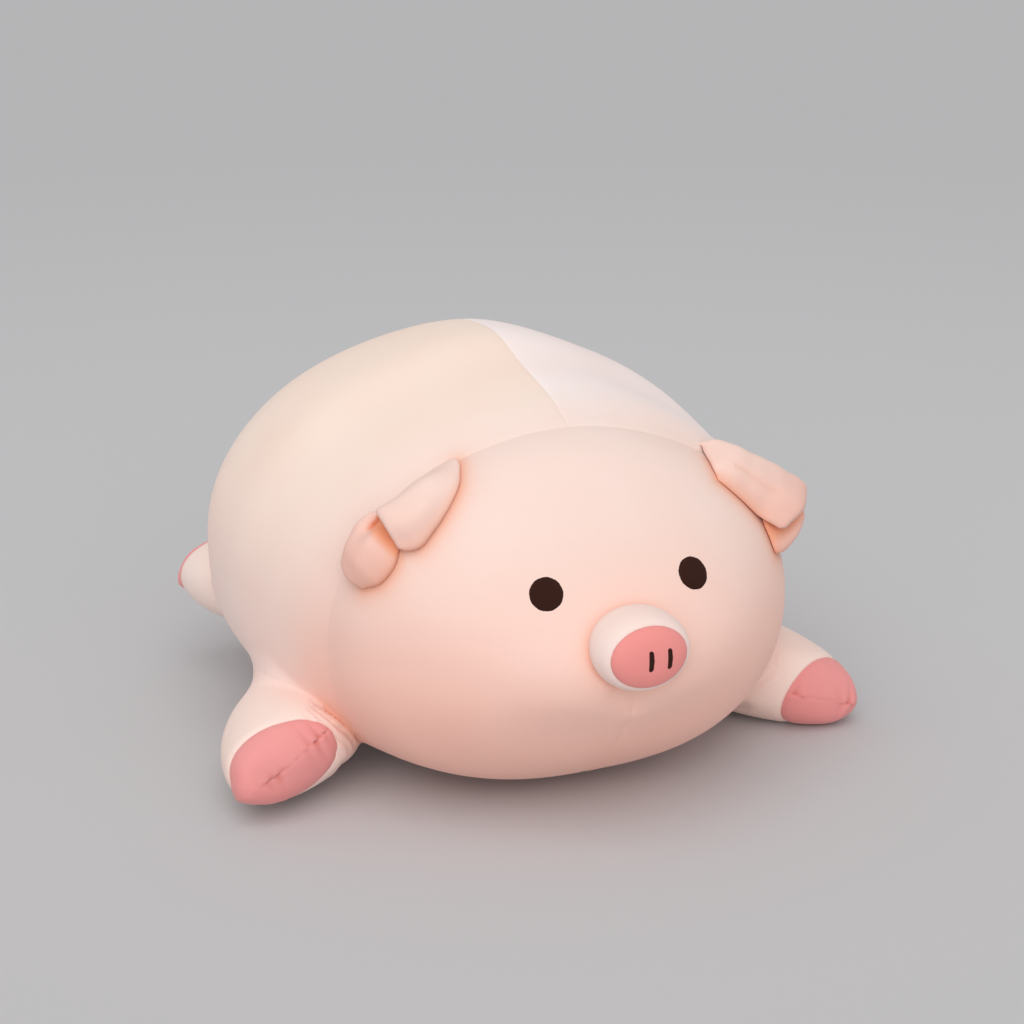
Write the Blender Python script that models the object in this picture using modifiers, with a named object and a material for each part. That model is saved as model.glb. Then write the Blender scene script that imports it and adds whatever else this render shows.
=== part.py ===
# A stuffed pig cushion, in metres, +Z up. The pig looks along -Y and its left is +X.
# The point 0, 0, 0 is the middle of the patch that the belly rests on.
import math

import bmesh
import bpy
import numpy as np
from mathutils import Matrix, Vector
from mathutils.bvhtree import BVHTree

# Cloth, seams and clearances
clothThickness = 0.0012        # stretch knit with its backing
seamGap = 0.0004               # between two panels where they are sewn
layerGap = 0.0003              # between a cover and what lies under or on it
stitchThickness = 0.0010       # satin embroidery
cutOverrun = 0.0200            # length of a cutter that goes through a cover
cutterSize = 1.0000            # side of the boxes that cut the panels along their seams

# Body and head, one swelling form with a seam at the neck
bodyLength = 0.4420
bodyWidth = 0.3820
bodyHeight = 0.2810
faceReach = 0.2240             # from the rest patch's middle to the front of the face
neckReach = 0.0965             # the same, to the neck seam at mid height
neckHeight = 0.1200            # the height at which neckReach is measured
neckLean = 6.0                 # degrees that the neck seam leans forward at the top
neckDip = 0.0030               # how far the neck seam draws the form in
neckDipWidth = 0.0180          # how far from the seam the dip fades
neckDipEndShare = -0.5         # how far down the sides the dip runs
bellySeamHeight = 0.0420
bodyColumns = 24
bodyRings = 17
stationShares = (0.0, 0.04, 0.12, 0.22, 0.34, 0.44, 0.54, 0.66, 0.78, 0.88, 0.96, 1.0)
widthShares = (0.0, 0.374, 0.627, 0.803, 0.902, 0.968, 1.0, 0.992, 0.880, 0.665, 0.385, 0.0)
middleShares = (0.399, 0.410, 0.420, 0.431, 0.440, 0.447, 0.455, 0.456, 0.454, 0.453, 0.451, 0.449)
riseShares = (0.0, 0.132, 0.315, 0.435, 0.490, 0.513, 0.545, 0.524, 0.452, 0.335, 0.200, 0.0)
sinkShares = (0.0, 0.137, 0.298, 0.405, 0.448, 0.469, 0.476, 0.463, 0.400, 0.310, 0.195, 0.0)
fullnessStationShares = (0.0, 0.5, 1.0)
upperFullness = (2.1, 1.9, 2.3)    # 2 is round, more is squarer
lowerFullness = (2.4, 2.3, 2.4)

# Snout
snoutWidth = 0.0660
snoutHeight = 0.0560
snoutStandOff = 0.0215         # from the front of the face to the snout's front
snoutDepth = 0.0560            # whole length of the form, most of it inside the face
snoutMiddle = 0.1325           # height of its middle
snoutFaceDepth = 0.0085        # depth of the sewn-in oval front
snoutColumns = 14
snoutRings = 10
snoutFullness = 2.7
snoutEndShare = 0.75           # less makes the snout's front flatter
nostrilSpacing = 0.0130
nostrilLength = 0.0140
nostrilWidth = 0.0032

# Eyes
eyeDiameter = 0.0230
eyeSpacing = 0.1020
eyeHeight = 0.1650
eyeSides = 20

# Legs: every leg has the same form
legRootRadius = 0.0420         # seen from above, round its joint axis
legRootHalfHeight = 0.0350
legReach = 0.1150              # from the joint axis to the toe
legHalfWidth = 0.0480          # at its widest
toeHalfHeight = 0.0380
toeDepth = 0.0220              # how much of the reach the toe panels take
toeRoll = 25.0                 # degrees that the toe's ridge turns, outer end down
toeSkewShare = 0.60            # how much further the toe's outer side reaches
legEndShare = 0.55             # less makes the toe blunter
legTurnOut = 30.0              # degrees from straight ahead or straight back
legSwingOut = 14.0
legSwingIn = 6.0
legPocketGap = 0.0042          # clearance of the pocket that the leg swings in
pocketColumns = 10
pocketRings = 7
legColumns = 12
legRings = 11
legFullness = 2.2
frontLegStandOff = 0.0015      # from the body's side out to a front leg's joint axis
frontLegAhead = 0.0120
frontLegHeight = 0.0368
hindLegSink = 0.0705           # from the body's side in to a hind leg's joint axis
hindLegBehind = 0.1010
hindLegHeight = 0.0730
footDrop = 0.0050              # how much lower a front toe lies than its root
footClearance = 0.0005         # from the floor to a front foot's flat underside

# Ears: two layers of cloth, folded forward over the head and pleated into two lobes
earInnerTurn = 37.5            # degrees round the neck seam from its top to the ear's inner end
earOuterTurn = 71.5            # and to its outer end
earLayerThickness = 0.0016
earLayerGap = 0.0006
earClearance = 0.0040          # from the head to the ear's edges
earRise = 0.0270               # how high the fold stands off the head at the outer end
earCover = 0.0480              # how far the longer lobe comes forward
earPlaceShares = (0.0, 0.18, 0.36, 0.50, 0.60, 0.70, 0.84, 1.0)
earCoverShares = (0.35, 0.64, 0.90, 0.92, 0.66, 0.80, 0.86, 0.42)
earRiseShares = (0.22, 0.36, 0.55, 0.70, 0.62, 0.84, 0.96, 1.0)
earLeanShare = 0.03            # how far the lobes slant towards the ear's outer end
earFoldShare = 0.80            # less makes the fold rounder
earProbe = 0.0600              # height over the head from which the ear's places are found
earColumns = 12
earRows = 7

# Tail
tailDiameter = 0.0150
tailLength = 0.0240
tailCurl = 0.0100
tailHeight = 0.1650
tailTurnShare = 0.55           # how much of a full turn the curl makes
tailTaperShare = 0.45
tailBluntShare = 0.80
tailColumns = 8
tailRings = 11


def clearScene():
    for thing in list(bpy.data.objects):
        bpy.data.objects.remove(thing, do_unlink=True)


def makeCollection(name):
    collection = bpy.data.collections.new(name)
    bpy.context.scene.collection.children.link(collection)
    return collection


def makeMaterial(name, colour, roughness):
    material = bpy.data.materials.new(name)
    material.use_nodes = True
    shader = material.node_tree.nodes["Principled BSDF"]
    shader.inputs["Base Color"].default_value = (*colour, 1.0)
    shader.inputs["Roughness"].default_value = roughness
    shader.inputs["Metallic"].default_value = 0.0
    material.diffuse_color = (*colour, 1.0)
    return material


def smoothCurve(places, values, where):
    # a smooth line through the values that never overshoots them
    places = np.array(places, float)
    values = np.array(values, float)
    steps = np.diff(places)
    slopes = np.diff(values) / steps
    tangents = np.empty(len(places))
    tangents[0] = slopes[0]
    tangents[-1] = slopes[-1]
    for i in range(1, len(places) - 1):
        before = slopes[i - 1]
        after = slopes[i]
        if before * after <= 0:
            tangents[i] = 0.0
            continue
        weightBefore = 2 * steps[i] + steps[i - 1]
        weightAfter = steps[i] + 2 * steps[i - 1]
        tangents[i] = (weightBefore + weightAfter) / (weightBefore / before + weightAfter / after)
    i = int(np.clip(np.searchsorted(places, where) - 1, 0, len(places) - 2))
    step = steps[i]
    u = (where - places[i]) / step
    start = (1 + 2 * u) * (1 - u) ** 2 * values[i] + u * (1 - u) ** 2 * step * tangents[i]
    end = u ** 2 * (3 - 2 * u) * values[i + 1] + u ** 2 * (u - 1) * step * tangents[i + 1]
    return float(start + end)


def swell(shares, where):
    # like smoothCurve, but round at both ends of the form
    squares = [share ** 2 for share in shares]
    return math.sqrt(max(smoothCurve(stationShares, squares, where), 0.0))


def rounded(value, fullness):
    return math.copysign(abs(value) ** (2.0 / fullness), value)


def neckPlane():
    # a point on the neck seam's plane, and the plane's normal, which points back
    lean = math.radians(neckLean)
    return Vector((0, -neckReach, neckHeight)), Vector((0, math.cos(lean), math.sin(lean)))


def bodyPoint(unit):
    # unit is a point of a ball of radius 1 whose poles are the nose end and the rump end
    along = (1 + unit.z) / 2
    ring = math.hypot(unit.x, unit.y)
    side = unit.x / ring if ring else 0.0
    rise = unit.y / ring if ring else 0.0
    table = upperFullness if rise > 0 else lowerFullness
    fullness = float(np.interp(along, fullnessStationShares, table))
    half = swell(widthShares, along) * bodyWidth / 2
    middle = smoothCurve(stationShares, middleShares, along) * bodyHeight
    reach = swell(riseShares if rise > 0 else sinkShares, along) * bodyHeight
    place = Vector((
        half * rounded(side, fullness),
        along * bodyLength - faceReach,
        middle + reach * rounded(rise, fullness)))
    point, normal = neckPlane()
    distance = (place - point).dot(normal) / neckDipWidth
    inward = Vector((-place.x, 0, middle - place.z))
    if inward.length and rise > neckDipEndShare:
        place += inward.normalized() * neckDip * math.exp(-distance ** 2)
    place.z = max(place.z, 0.0)
    return place


def ballMesh(columns, rings, placePoint):
    mesh = bmesh.new()
    bmesh.ops.create_uvsphere(mesh, u_segments=columns, v_segments=rings, radius=1)
    # half a column's turn puts the form's middle planes between its columns, where seams can run
    halfColumn = Matrix.Rotation(math.pi / columns, 3, "Z")
    for vert in mesh.verts:
        vert.co = placePoint(halfColumn @ vert.co)
    bmesh.ops.triangulate(mesh, faces=mesh.faces[:])
    bmesh.ops.recalc_face_normals(mesh, faces=mesh.faces[:])
    mesh.normal_update()
    return mesh


def inset(mesh, depth):
    # moves a closed form's skin inward; a negative depth moves it outward
    moves = [(vert, vert.normal * depth) for vert in mesh.verts]
    for vert, move in moves:
        vert.co -= move
    mesh.normal_update()


def makeObject(name, mesh, material, collection, origin=None):
    data = bpy.data.meshes.new(name)
    if origin is not None:
        bmesh.ops.translate(mesh, verts=mesh.verts[:], vec=-origin)
    mesh.to_mesh(data)
    mesh.free()
    thing = bpy.data.objects.new(name, data)
    if origin is not None:
        thing.location = origin
    if material:
        data.materials.append(material)
    collection.objects.link(thing)
    return thing


def addSolidify(thing, thickness, offset):
    solidify = thing.modifiers.new("cloth", "SOLIDIFY")
    solidify.thickness = thickness
    solidify.offset = offset
    solidify.use_even_offset = False
    return solidify


def addBoolean(thing, cutter, operation="DIFFERENCE"):
    boolean = thing.modifiers.new("cut", "BOOLEAN")
    boolean.operation = operation
    boolean.object = cutter
    boolean.solver = "EXACT"
    return boolean


def makeCutter(name, mesh):
    cutter = makeObject(name, mesh, None, cutters)
    cutter.display_type = "WIRE"
    cutter.hide_render = True
    return cutter


def seamCutters(name, point, normal):
    # two boxes, one to each side of a seam; each one runs past it by half the gap
    pair = []
    for word, side in (("before", -1), ("behind", 1)):
        box = bmesh.new()
        bmesh.ops.create_cube(box, size=cutterSize)
        bmesh.ops.translate(
            box, verts=box.verts[:], vec=(0, 0, side * (cutterSize - seamGap) / 2))
        turn = normal.to_track_quat("Z", "Y").to_matrix().to_4x4()
        bmesh.ops.transform(box, matrix=Matrix.Translation(point) @ turn, verts=box.verts[:])
        pair.append(makeCutter(name + "_" + word, box))
    return pair


def bodySkin():
    return ballMesh(bodyColumns, bodyRings, bodyPoint)


def bodySurface():
    # the body's outer surface, to find places on it
    skin = bodySkin()
    surface = BVHTree.FromBMesh(skin)
    skin.free()
    return surface


def bodySide(behind, height):
    # how far out the body's left side is at a place along it
    place, normal, face, distance = bodySurface().ray_cast(Vector((0, behind, height)), Vector((1, 0, 0)))
    return place.x


# One pig leg, in its own frame: +Y runs along it to the toe, +X to its outer side


def legPoint(unit):
    along = unit.z
    if along <= 0:
        return Vector((unit.x * legRootRadius, along * legRootRadius, unit.y * legRootHalfHeight))
    ring = math.hypot(unit.x, unit.y)
    side = unit.x / ring if ring else 0.0
    rise = unit.y / ring if ring else 0.0
    around = 2 + (legFullness - 2) * along
    spread = ring ** legEndShare
    widening = math.sin(math.pi * along) * (legHalfWidth - legRootRadius)
    half = (legRootRadius + widening) * spread
    height = (legRootHalfHeight + (toeHalfHeight - legRootHalfHeight) * along) * spread
    across = half * rounded(side, around)
    up = height * rounded(rise, around)
    roll = -math.radians(toeRoll) * along ** 2
    reach = along * legReach + toeSkewShare * across * along ** 2
    return Vector((
        across * math.cos(roll) - up * math.sin(roll),
        reach,
        across * math.sin(roll) + up * math.cos(roll)))


def legMatrix(side, ahead, swing=0.0):
    # side is 1 on the pig's left and -1 on its right; ahead is 1 for a front leg
    if ahead > 0:
        out = bodySide(-frontLegAhead, frontLegHeight) + frontLegStandOff
        root = Vector((out, -frontLegAhead, frontLegHeight))
        turn = math.pi + math.radians(legTurnOut + swing)
        mirror = Matrix.Diagonal((-1, 1, 1, 1))
    else:
        out = bodySide(hindLegBehind, hindLegHeight) - hindLegSink
        root = Vector((out, hindLegBehind, hindLegHeight))
        turn = -math.radians(legTurnOut + swing)
        mirror = Matrix.Identity(4)
    matrix = Matrix.Translation(root) @ Matrix.Rotation(turn, 4, "Z") @ mirror
    if side < 0:
        matrix = Matrix.Diagonal((-1, 1, 1, 1)) @ matrix
    return matrix


def legDrop(ahead):
    return footDrop if ahead > 0 else 0.0


def legSkin(side, ahead, columns, rings, swing=0.0):
    matrix = legMatrix(side, ahead, swing)
    drop = legDrop(ahead)

    def placed(unit):
        point = legPoint(unit)
        point.z -= drop * max(point.y, 0.0) / legReach
        point = matrix @ point
        point.z = max(point.z, footClearance)
        return point

    return ballMesh(columns, rings, placed)


def legPocket(name, side, ahead):
    # the room that the swinging leg takes: one hull round its end positions
    hull = bmesh.new()
    for swing in (-legSwingIn, 0.0, legSwingOut):
        skin = legSkin(side, ahead, pocketColumns, pocketRings, swing)
        inset(skin, -legPocketGap)
        for vert in skin.verts:
            hull.verts.new(vert.co)
        skin.free()
    result = bmesh.ops.convex_hull(hull, input=hull.verts[:])
    spare = [item for item in result["geom_interior"] if isinstance(item, bmesh.types.BMVert)]
    bmesh.ops.delete(hull, geom=spare, context="VERTS")
    loose = [vert for vert in hull.verts if not vert.link_faces]
    bmesh.ops.delete(hull, geom=loose, context="VERTS")
    bmesh.ops.recalc_face_normals(hull, faces=hull.faces[:])
    return makeCutter(name + "_pocket", hull)


def makeLeg(name, side, ahead):
    matrix = legMatrix(side, ahead)
    root = matrix.translation.copy()
    forward = (matrix.to_3x3() @ Vector((0, 1, 0))).normalized()
    outward = (matrix.to_3x3() @ Vector((1, 0, 0))).normalized()
    seamPoint = matrix @ Vector((0, legReach - toeDepth, 0))
    # the toe seam leans as the toe does, and the ridge runs across the toe
    seamNormal = (forward - outward * toeSkewShare).normalized()
    roll = -math.radians(toeRoll)
    ridgeUp = (matrix.to_3x3() @ Vector((-math.sin(roll), 0, math.cos(roll)))).normalized()
    ridgePoint = seamPoint - Vector((0, 0, legDrop(ahead)))
    beforeToe, behindToe = seamCutters(name + "_toe_seam", seamPoint, seamNormal)
    belowRidge, aboveRidge = seamCutters(name + "_ridge", ridgePoint, ridgeUp)
    joint = bpy.data.objects.new(name + "_joint", None)
    joint.location = root
    parts.objects.link(joint)

    def piece(nodeName, mesh, material):
        thing = makeObject(nodeName, mesh, material, parts, root)
        thing.location = (0, 0, 0)
        thing.parent = joint
        return thing

    def panel(nodeName, material, boxes):
        thing = piece(nodeName, legSkin(side, ahead, legColumns, legRings), material)
        addSolidify(thing, clothThickness, -1)
        for box in boxes:
            addBoolean(thing, box)

    panel(name + "_leg_cover", peach, (behindToe,))
    panel(name + "_toe_upper", pink, (beforeToe, belowRidge))
    panel(name + "_toe_lower", pink, (beforeToe, aboveRidge))
    filling = legSkin(side, ahead, legColumns, legRings)
    inset(filling, clothThickness + layerGap)
    piece(name + "_leg_filling", filling, stuffing)


# Torso and head


def makeTorso(pockets):
    point, normal = neckPlane()
    beforeNeck, behindNeck = seamCutters("neck_seam", point, normal)
    bellyPoint = Vector((0, 0, bellySeamHeight))
    belowBelly, aboveBelly = seamCutters("belly_seam", bellyPoint, Vector((0, 0, 1)))
    rightHalf, leftHalf = seamCutters("back_seam", Vector((0, 0, 0)), Vector((1, 0, 0)))
    everyPocket = tuple(pockets.values())
    frontPockets = (pockets["front_left"], pockets["front_right"])
    leftPockets = (pockets["front_left"], pockets["hind_left"])
    rightPockets = (pockets["front_right"], pockets["hind_right"])
    panels = {
        "back_panel_left": (beforeNeck, belowBelly, rightHalf, *leftPockets),
        "back_panel_right": (beforeNeck, belowBelly, leftHalf, *rightPockets),
        "belly_panel": (beforeNeck, aboveBelly, *everyPocket),
        "face_panel": (behindNeck, *frontPockets),
    }
    for name, boxes in panels.items():
        thing = makeObject(name, bodySkin(), peach, parts)
        addSolidify(thing, clothThickness, -1)
        for box in boxes:
            addBoolean(thing, box)
    fillings = {
        "body_filling": (beforeNeck, *everyPocket),
        "head_filling": (behindNeck, *frontPockets),
    }
    for name, boxes in fillings.items():
        form = bodySkin()
        inset(form, clothThickness + layerGap)
        thing = makeObject(name, form, stuffing, parts)
        for box in boxes:
            addBoolean(thing, box)


# Snout, nostrils and eyes


def snoutFront():
    return faceReach + snoutStandOff


def snoutPoint(unit):
    ring = math.hypot(unit.x, unit.y)
    side = unit.x / ring if ring else 0.0
    rise = unit.y / ring if ring else 0.0
    along = rounded(unit.z, snoutFullness)
    spread = ring ** snoutEndShare
    return Vector((
        snoutWidth / 2 * spread * side,
        snoutDepth / 2 - snoutFront() - along * snoutDepth / 2,
        snoutMiddle + snoutHeight / 2 * spread * rise))


def snoutSkin():
    return ballMesh(snoutColumns, snoutRings, snoutPoint)


def roundBar(name, centre, direction, width, length):
    # a cutter whose section is a disc, or a bar with round ends when it is long
    bar = bmesh.new()
    bmesh.ops.create_cone(
        bar, cap_ends=True, segments=eyeSides, radius1=width / 2, radius2=width / 2, depth=cutOverrun)
    for vert in bar.verts:
        vert.co.y += math.copysign((length - width) / 2, vert.co.y)
    turn = direction.to_track_quat("Z", "Y").to_matrix().to_4x4()
    bmesh.ops.transform(bar, matrix=Matrix.Translation(centre) @ turn, verts=bar.verts[:])
    return makeCutter(name + "_outline", bar)


def makeStitchwork(name, skin, centre, direction, width, length):
    # thread lies on the cloth: the skin lifted by the gap, thickened and kept inside an outline
    inset(skin, -layerGap)
    thing = makeObject(name, skin, thread, parts)
    addSolidify(thing, stitchThickness, 1)
    addBoolean(thing, roundBar(name, centre, direction, width, length), "INTERSECT")


def makeFace():
    seam = Vector((0, snoutFaceDepth - snoutFront(), 0))
    beforeSeam, behindSeam = seamCutters("snout_seam", seam, Vector((0, 1, 0)))
    headShape = bodySkin()
    inset(headShape, -layerGap)
    head = makeCutter("head_shape", headShape)

    cover = makeObject("snout_cover", snoutSkin(), peach, parts)
    addSolidify(cover, clothThickness, -1)
    addBoolean(cover, beforeSeam)
    addBoolean(cover, head)

    front = makeObject("snout_face", snoutSkin(), pink, parts)
    addSolidify(front, clothThickness, -1)
    addBoolean(front, behindSeam)

    form = snoutSkin()
    inset(form, clothThickness + layerGap)
    filling = makeObject("snout_filling", form, stuffing, parts)
    addBoolean(filling, head)

    for word, side in (("left", 1), ("right", -1)):
        centre = Vector((side * nostrilSpacing / 2, -snoutFront(), snoutMiddle))
        makeStitchwork("nostril_" + word, snoutSkin(), centre, Vector((0, -1, 0)),
                       nostrilWidth, nostrilLength)
        start = Vector((side * eyeSpacing / 2, -snoutFront(), eyeHeight))
        place, direction, face, distance = bodySurface().ray_cast(start, Vector((0, 1, 0)))
        makeStitchwork("eye_" + word, bodySkin(), place, direction, eyeDiameter, eyeDiameter)


# Ears


def neckSeamPlace(turn):
    # the place on the neck seam that is this many degrees round from its top
    point, normal = neckPlane()
    up = Vector((1, 0, 0)).cross(normal)
    direction = Vector((1, 0, 0)) * math.sin(math.radians(turn)) + up * math.cos(math.radians(turn))
    place, outward, face, distance = bodySurface().ray_cast(point, direction)
    return place


def earFrame():
    # the left ear's sewn edge, the way it points forward over the head, and outward
    inner = neckSeamPlace(earInnerTurn)
    outer = neckSeamPlace(earOuterTurn)
    along = (outer - inner).normalized()
    place, normal, face, distance = bodySurface().find_nearest((inner + outer) / 2)
    outward = (normal - along * normal.dot(along)).normalized()
    forward = outward.cross(along).normalized()
    if forward.y > 0:
        forward.negate()
    return inner, outer, along, outward, forward


def earHinge():
    # the fold's axis lies just outside the head, over the middle of the sewn edge
    inner, outer, along, outward, forward = earFrame()
    start = (inner + outer) / 2 + outward * earProbe
    place, normal, face, distance = bodySurface().ray_cast(start, -outward)
    return place + outward * earClearance


def makeEar(word, side):
    inner, outer, along, outward, forward = earFrame()
    hinge = earHinge()
    span = (outer - inner).length
    mirror = Matrix.Diagonal((side, 1, 1, 1))
    head = bodySurface()

    def earPoint(across, down):
        # across runs 0 to 1 from the inner to the outer end, down runs 0 to 1 to the free edge
        cover = earCover * smoothCurve(earPlaceShares, earCoverShares, across)
        rise = earRise * smoothCurve(earPlaceShares, earRiseShares, across)
        ahead = cover * (1 - math.cos(math.pi * down)) / 2
        lift = earClearance + rise * math.sin(math.pi * down) ** earFoldShare
        middle = (inner + outer) / 2 + along * (across - 0.5 + earLeanShare * down) * span
        start = middle + forward * ahead + outward * earProbe
        place, normal, face, distance = head.ray_cast(start, -outward)
        return place + outward * lift

    joint = bpy.data.objects.new("ear_" + word + "_joint", None)
    joint.location = mirror @ hinge
    parts.objects.link(joint)
    for layer, offset in (("outer", 1), ("lining", -1)):
        sheet = bmesh.new()
        bmesh.ops.create_grid(sheet, x_segments=earColumns, y_segments=earRows, size=1)
        for vert in sheet.verts:
            across = (vert.co.x + 1) / 2
            down = (vert.co.y + 1) / 2
            vert.co = mirror @ earPoint(across, down)
        bmesh.ops.triangulate(sheet, faces=sheet.faces[:])
        sheet.normal_update()
        if sum(face.normal.dot(mirror.to_3x3() @ outward) for face in sheet.faces) < 0:
            bmesh.ops.reverse_faces(sheet, faces=sheet.faces[:])
        sheet.normal_update()
        inset(sheet, -offset * earLayerGap / 2)
        origin = mirror @ hinge
        thing = makeObject("ear_" + word + "_" + layer, sheet, peach, parts, origin)
        thing.location = (0, 0, 0)
        thing.parent = joint
        addSolidify(thing, earLayerThickness, offset)


# Tail


def tailRoot():
    # the tail's joint: half its own thickness off the rump
    start = Vector((0, bodyLength, tailHeight))
    place, outward, face, distance = bodySurface().ray_cast(start, Vector((0, -1, 0)))
    return place + outward * (tailDiameter / 2 + layerGap), outward


def makeTail():
    root, outward = tailRoot()

    def tailPoint(unit):
        along = (1 + unit.z) / 2
        if unit.z < 0:
            along = 0.0
        turn = along * math.pi * tailTurnShare * 2
        radius = tailDiameter / 2 * (1 - tailTaperShare * along)
        path = Vector((
            tailCurl * math.sin(turn),
            along * tailLength,
            tailCurl * (1 - math.cos(turn))))
        heading = Vector((
            tailCurl * math.cos(turn) * tailTurnShare * 2 * math.pi,
            tailLength,
            tailCurl * math.sin(turn) * tailTurnShare * 2 * math.pi)).normalized()
        across = heading.cross(Vector((0, 0, 1))).normalized()
        up = across.cross(heading)
        end = Vector((0, 0, 0))
        if unit.z < 0:
            end = heading * unit.z * radius
        ring = 1.0 if unit.z >= 0 and unit.z < tailBluntShare else math.hypot(unit.x, unit.y)
        if unit.z >= tailBluntShare:
            ring /= math.sqrt(1 - tailBluntShare ** 2)
        flat = math.hypot(unit.x, unit.y) or 1.0
        return root + path + end + (across * unit.x + up * unit.y) * (ring / flat) * radius

    skin = ballMesh(tailColumns, tailRings, tailPoint)
    joint = bpy.data.objects.new("tail_joint", None)
    joint.location = root
    parts.objects.link(joint)
    thing = makeObject("tail", skin, peach, parts, root)
    thing.location = (0, 0, 0)
    thing.parent = joint


clearScene()
parts = makeCollection("plush_pig")
cutters = makeCollection("cutters")
peach = makeMaterial("peach_knit", (0.86, 0.62, 0.53), 0.85)
pink = makeMaterial("pink_knit", (0.80, 0.31, 0.29), 0.85)
stuffing = makeMaterial("fibre_stuffing", (0.90, 0.89, 0.86), 0.95)
thread = makeMaterial("dark_brown_thread", (0.045, 0.016, 0.010), 0.55)

legs = {
    "front_left": (1, 1),
    "front_right": (-1, 1),
    "hind_left": (1, -1),
    "hind_right": (-1, -1),
}
legPockets = {name: legPocket(name, *place) for name, place in legs.items()}
makeTorso(legPockets)
for legName, legPlace in legs.items():
    makeLeg(legName, *legPlace)
makeFace()
makeEar("left", 1)
makeEar("right", -1)
makeTail()
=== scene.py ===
# A stuffed pig cushion, dressed for the camera. Metres, +Z up; the pig looks along -Y and its left is +X.
import math

import bmesh
import bpy
import numpy as np
from mathutils import Matrix, Vector
from mathutils.bvhtree import BVHTree
from mathutils.kdtree import KDTree


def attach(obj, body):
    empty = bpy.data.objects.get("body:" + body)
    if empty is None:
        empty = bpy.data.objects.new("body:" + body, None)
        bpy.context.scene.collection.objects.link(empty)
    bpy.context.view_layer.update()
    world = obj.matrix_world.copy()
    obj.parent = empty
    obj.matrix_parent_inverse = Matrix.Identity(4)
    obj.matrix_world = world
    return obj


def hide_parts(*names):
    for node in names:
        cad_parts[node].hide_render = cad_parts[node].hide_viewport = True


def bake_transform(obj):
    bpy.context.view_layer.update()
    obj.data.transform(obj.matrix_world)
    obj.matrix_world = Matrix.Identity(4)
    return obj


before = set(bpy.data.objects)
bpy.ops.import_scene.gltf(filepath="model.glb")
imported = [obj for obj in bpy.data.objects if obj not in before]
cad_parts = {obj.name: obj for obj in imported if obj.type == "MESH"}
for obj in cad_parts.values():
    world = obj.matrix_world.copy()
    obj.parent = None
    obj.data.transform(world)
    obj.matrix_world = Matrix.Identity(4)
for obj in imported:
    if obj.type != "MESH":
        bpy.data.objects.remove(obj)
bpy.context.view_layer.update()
print("stage: frame loaded")

mm = 0.001
tiny = 1e-9      # keeps a division by a length from failing


# Small helpers


def smoothCurve(stations, values, where):
    # a smooth line through the values that never overshoots them
    stations = np.array(stations, float)
    values = np.array(values, float)
    steps = np.diff(stations)
    slopes = np.diff(values) / steps
    tangents = np.zeros(len(stations))
    tangents[0] = slopes[0]
    tangents[-1] = slopes[-1]
    for i in range(1, len(stations) - 1):
        before = slopes[i - 1]
        after = slopes[i]
        if before * after > 0:
            weightBefore = 2 * steps[i] + steps[i - 1]
            weightAfter = steps[i] + 2 * steps[i - 1]
            tangents[i] = (weightBefore + weightAfter) / (weightBefore / before + weightAfter / after)
    where = np.asarray(where, float)
    i = np.clip(np.searchsorted(stations, where) - 1, 0, len(stations) - 2)
    step = steps[i]
    u = (where - stations[i]) / step
    start = (1 + 2 * u) * (1 - u) ** 2 * values[i] + u * (1 - u) ** 2 * step * tangents[i]
    end = u ** 2 * (3 - 2 * u) * values[i + 1] + u ** 2 * (u - 1) * step * tangents[i + 1]
    return start + end


def rounded(value, fullness):
    return np.copysign(np.abs(value) ** (2.0 / fullness), value)


def fade(value, start, end):
    # 0 at start, 1 at end, smooth in between
    part = np.clip((np.asarray(value, float) - start) / (end - start), 0, 1)
    return part * part * (3 - 2 * part)


def dip(distance, width):
    # 1 on a seam, 0 at width from it, with a sharp bottom and soft shoulders
    return np.clip(1 - np.abs(distance) / width, 0, 1) ** 2


def groove(distance, seam):
    # how far a seam of this depth and width is pressed in
    depth, width = seam
    return depth * dip(distance, width)


def glow(distance, strength, spread):
    # painted glow of bounced light, that dies away over the distance from a crease
    return strength * np.exp(-distance / spread)


def lengths(vectors):
    return np.linalg.norm(vectors, axis=-1)


rippleFacts = {
    "waves": 6,
    "lengthRange": (0.7, 1.4),
    "startRange": (0, 6.28),
    "whole": 3.0,
}


def ripple(points, scale, seed):
    # a smooth random field between about -1 and 1, the same at each run
    rng = np.random.default_rng(seed)
    total = np.zeros(len(points))
    for _ in range(rippleFacts["waves"]):
        direction = rng.normal(size=3)
        direction /= np.linalg.norm(direction)
        length = scale * rng.uniform(*rippleFacts["lengthRange"])
        total += np.sin(points @ direction * 2 * math.pi / length + rng.uniform(*rippleFacts["startRange"]))
    return total / rippleFacts["whole"]


def ballGrid(count):
    # points spread evenly over a ball of radius 1, and the quads between them
    steps = np.tan(np.linspace(-math.pi / 4, math.pi / 4, count + 1))
    a, b = np.meshgrid(steps, steps, indexing="ij")
    one = np.ones_like(a)
    sides = [(a, b, one), (b, a, -one), (one, a, b), (-one, b, a), (b, one, a), (a, -one, b)]
    points = []
    quads = []
    for side in sides:
        first = len(points) * (count + 1) ** 2
        grid = np.stack(side, -1).reshape(-1, 3)
        points.append(grid / lengths(grid)[:, None])
        i, j = np.meshgrid(np.arange(count), np.arange(count), indexing="ij")
        corner = (i * (count + 1) + j).ravel() + first
        quads.append(np.stack([corner, corner + count + 1, corner + count + 2, corner + 1], -1))
    points = np.concatenate(points)
    quads = np.concatenate(quads)
    keys = np.round(points * 1e6).astype(np.int64)
    _, firsts, where = np.unique(keys, axis=0, return_index=True, return_inverse=True)
    return points[firsts], where.ravel()[quads]


def ringShares(units):
    # how far each point of the ball is from its axis, and which way
    ring = np.hypot(units[:, 0], units[:, 1])
    safe = np.where(ring > 0, ring, 1)
    return ring, units[:, 0] / safe, units[:, 1] / safe


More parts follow.
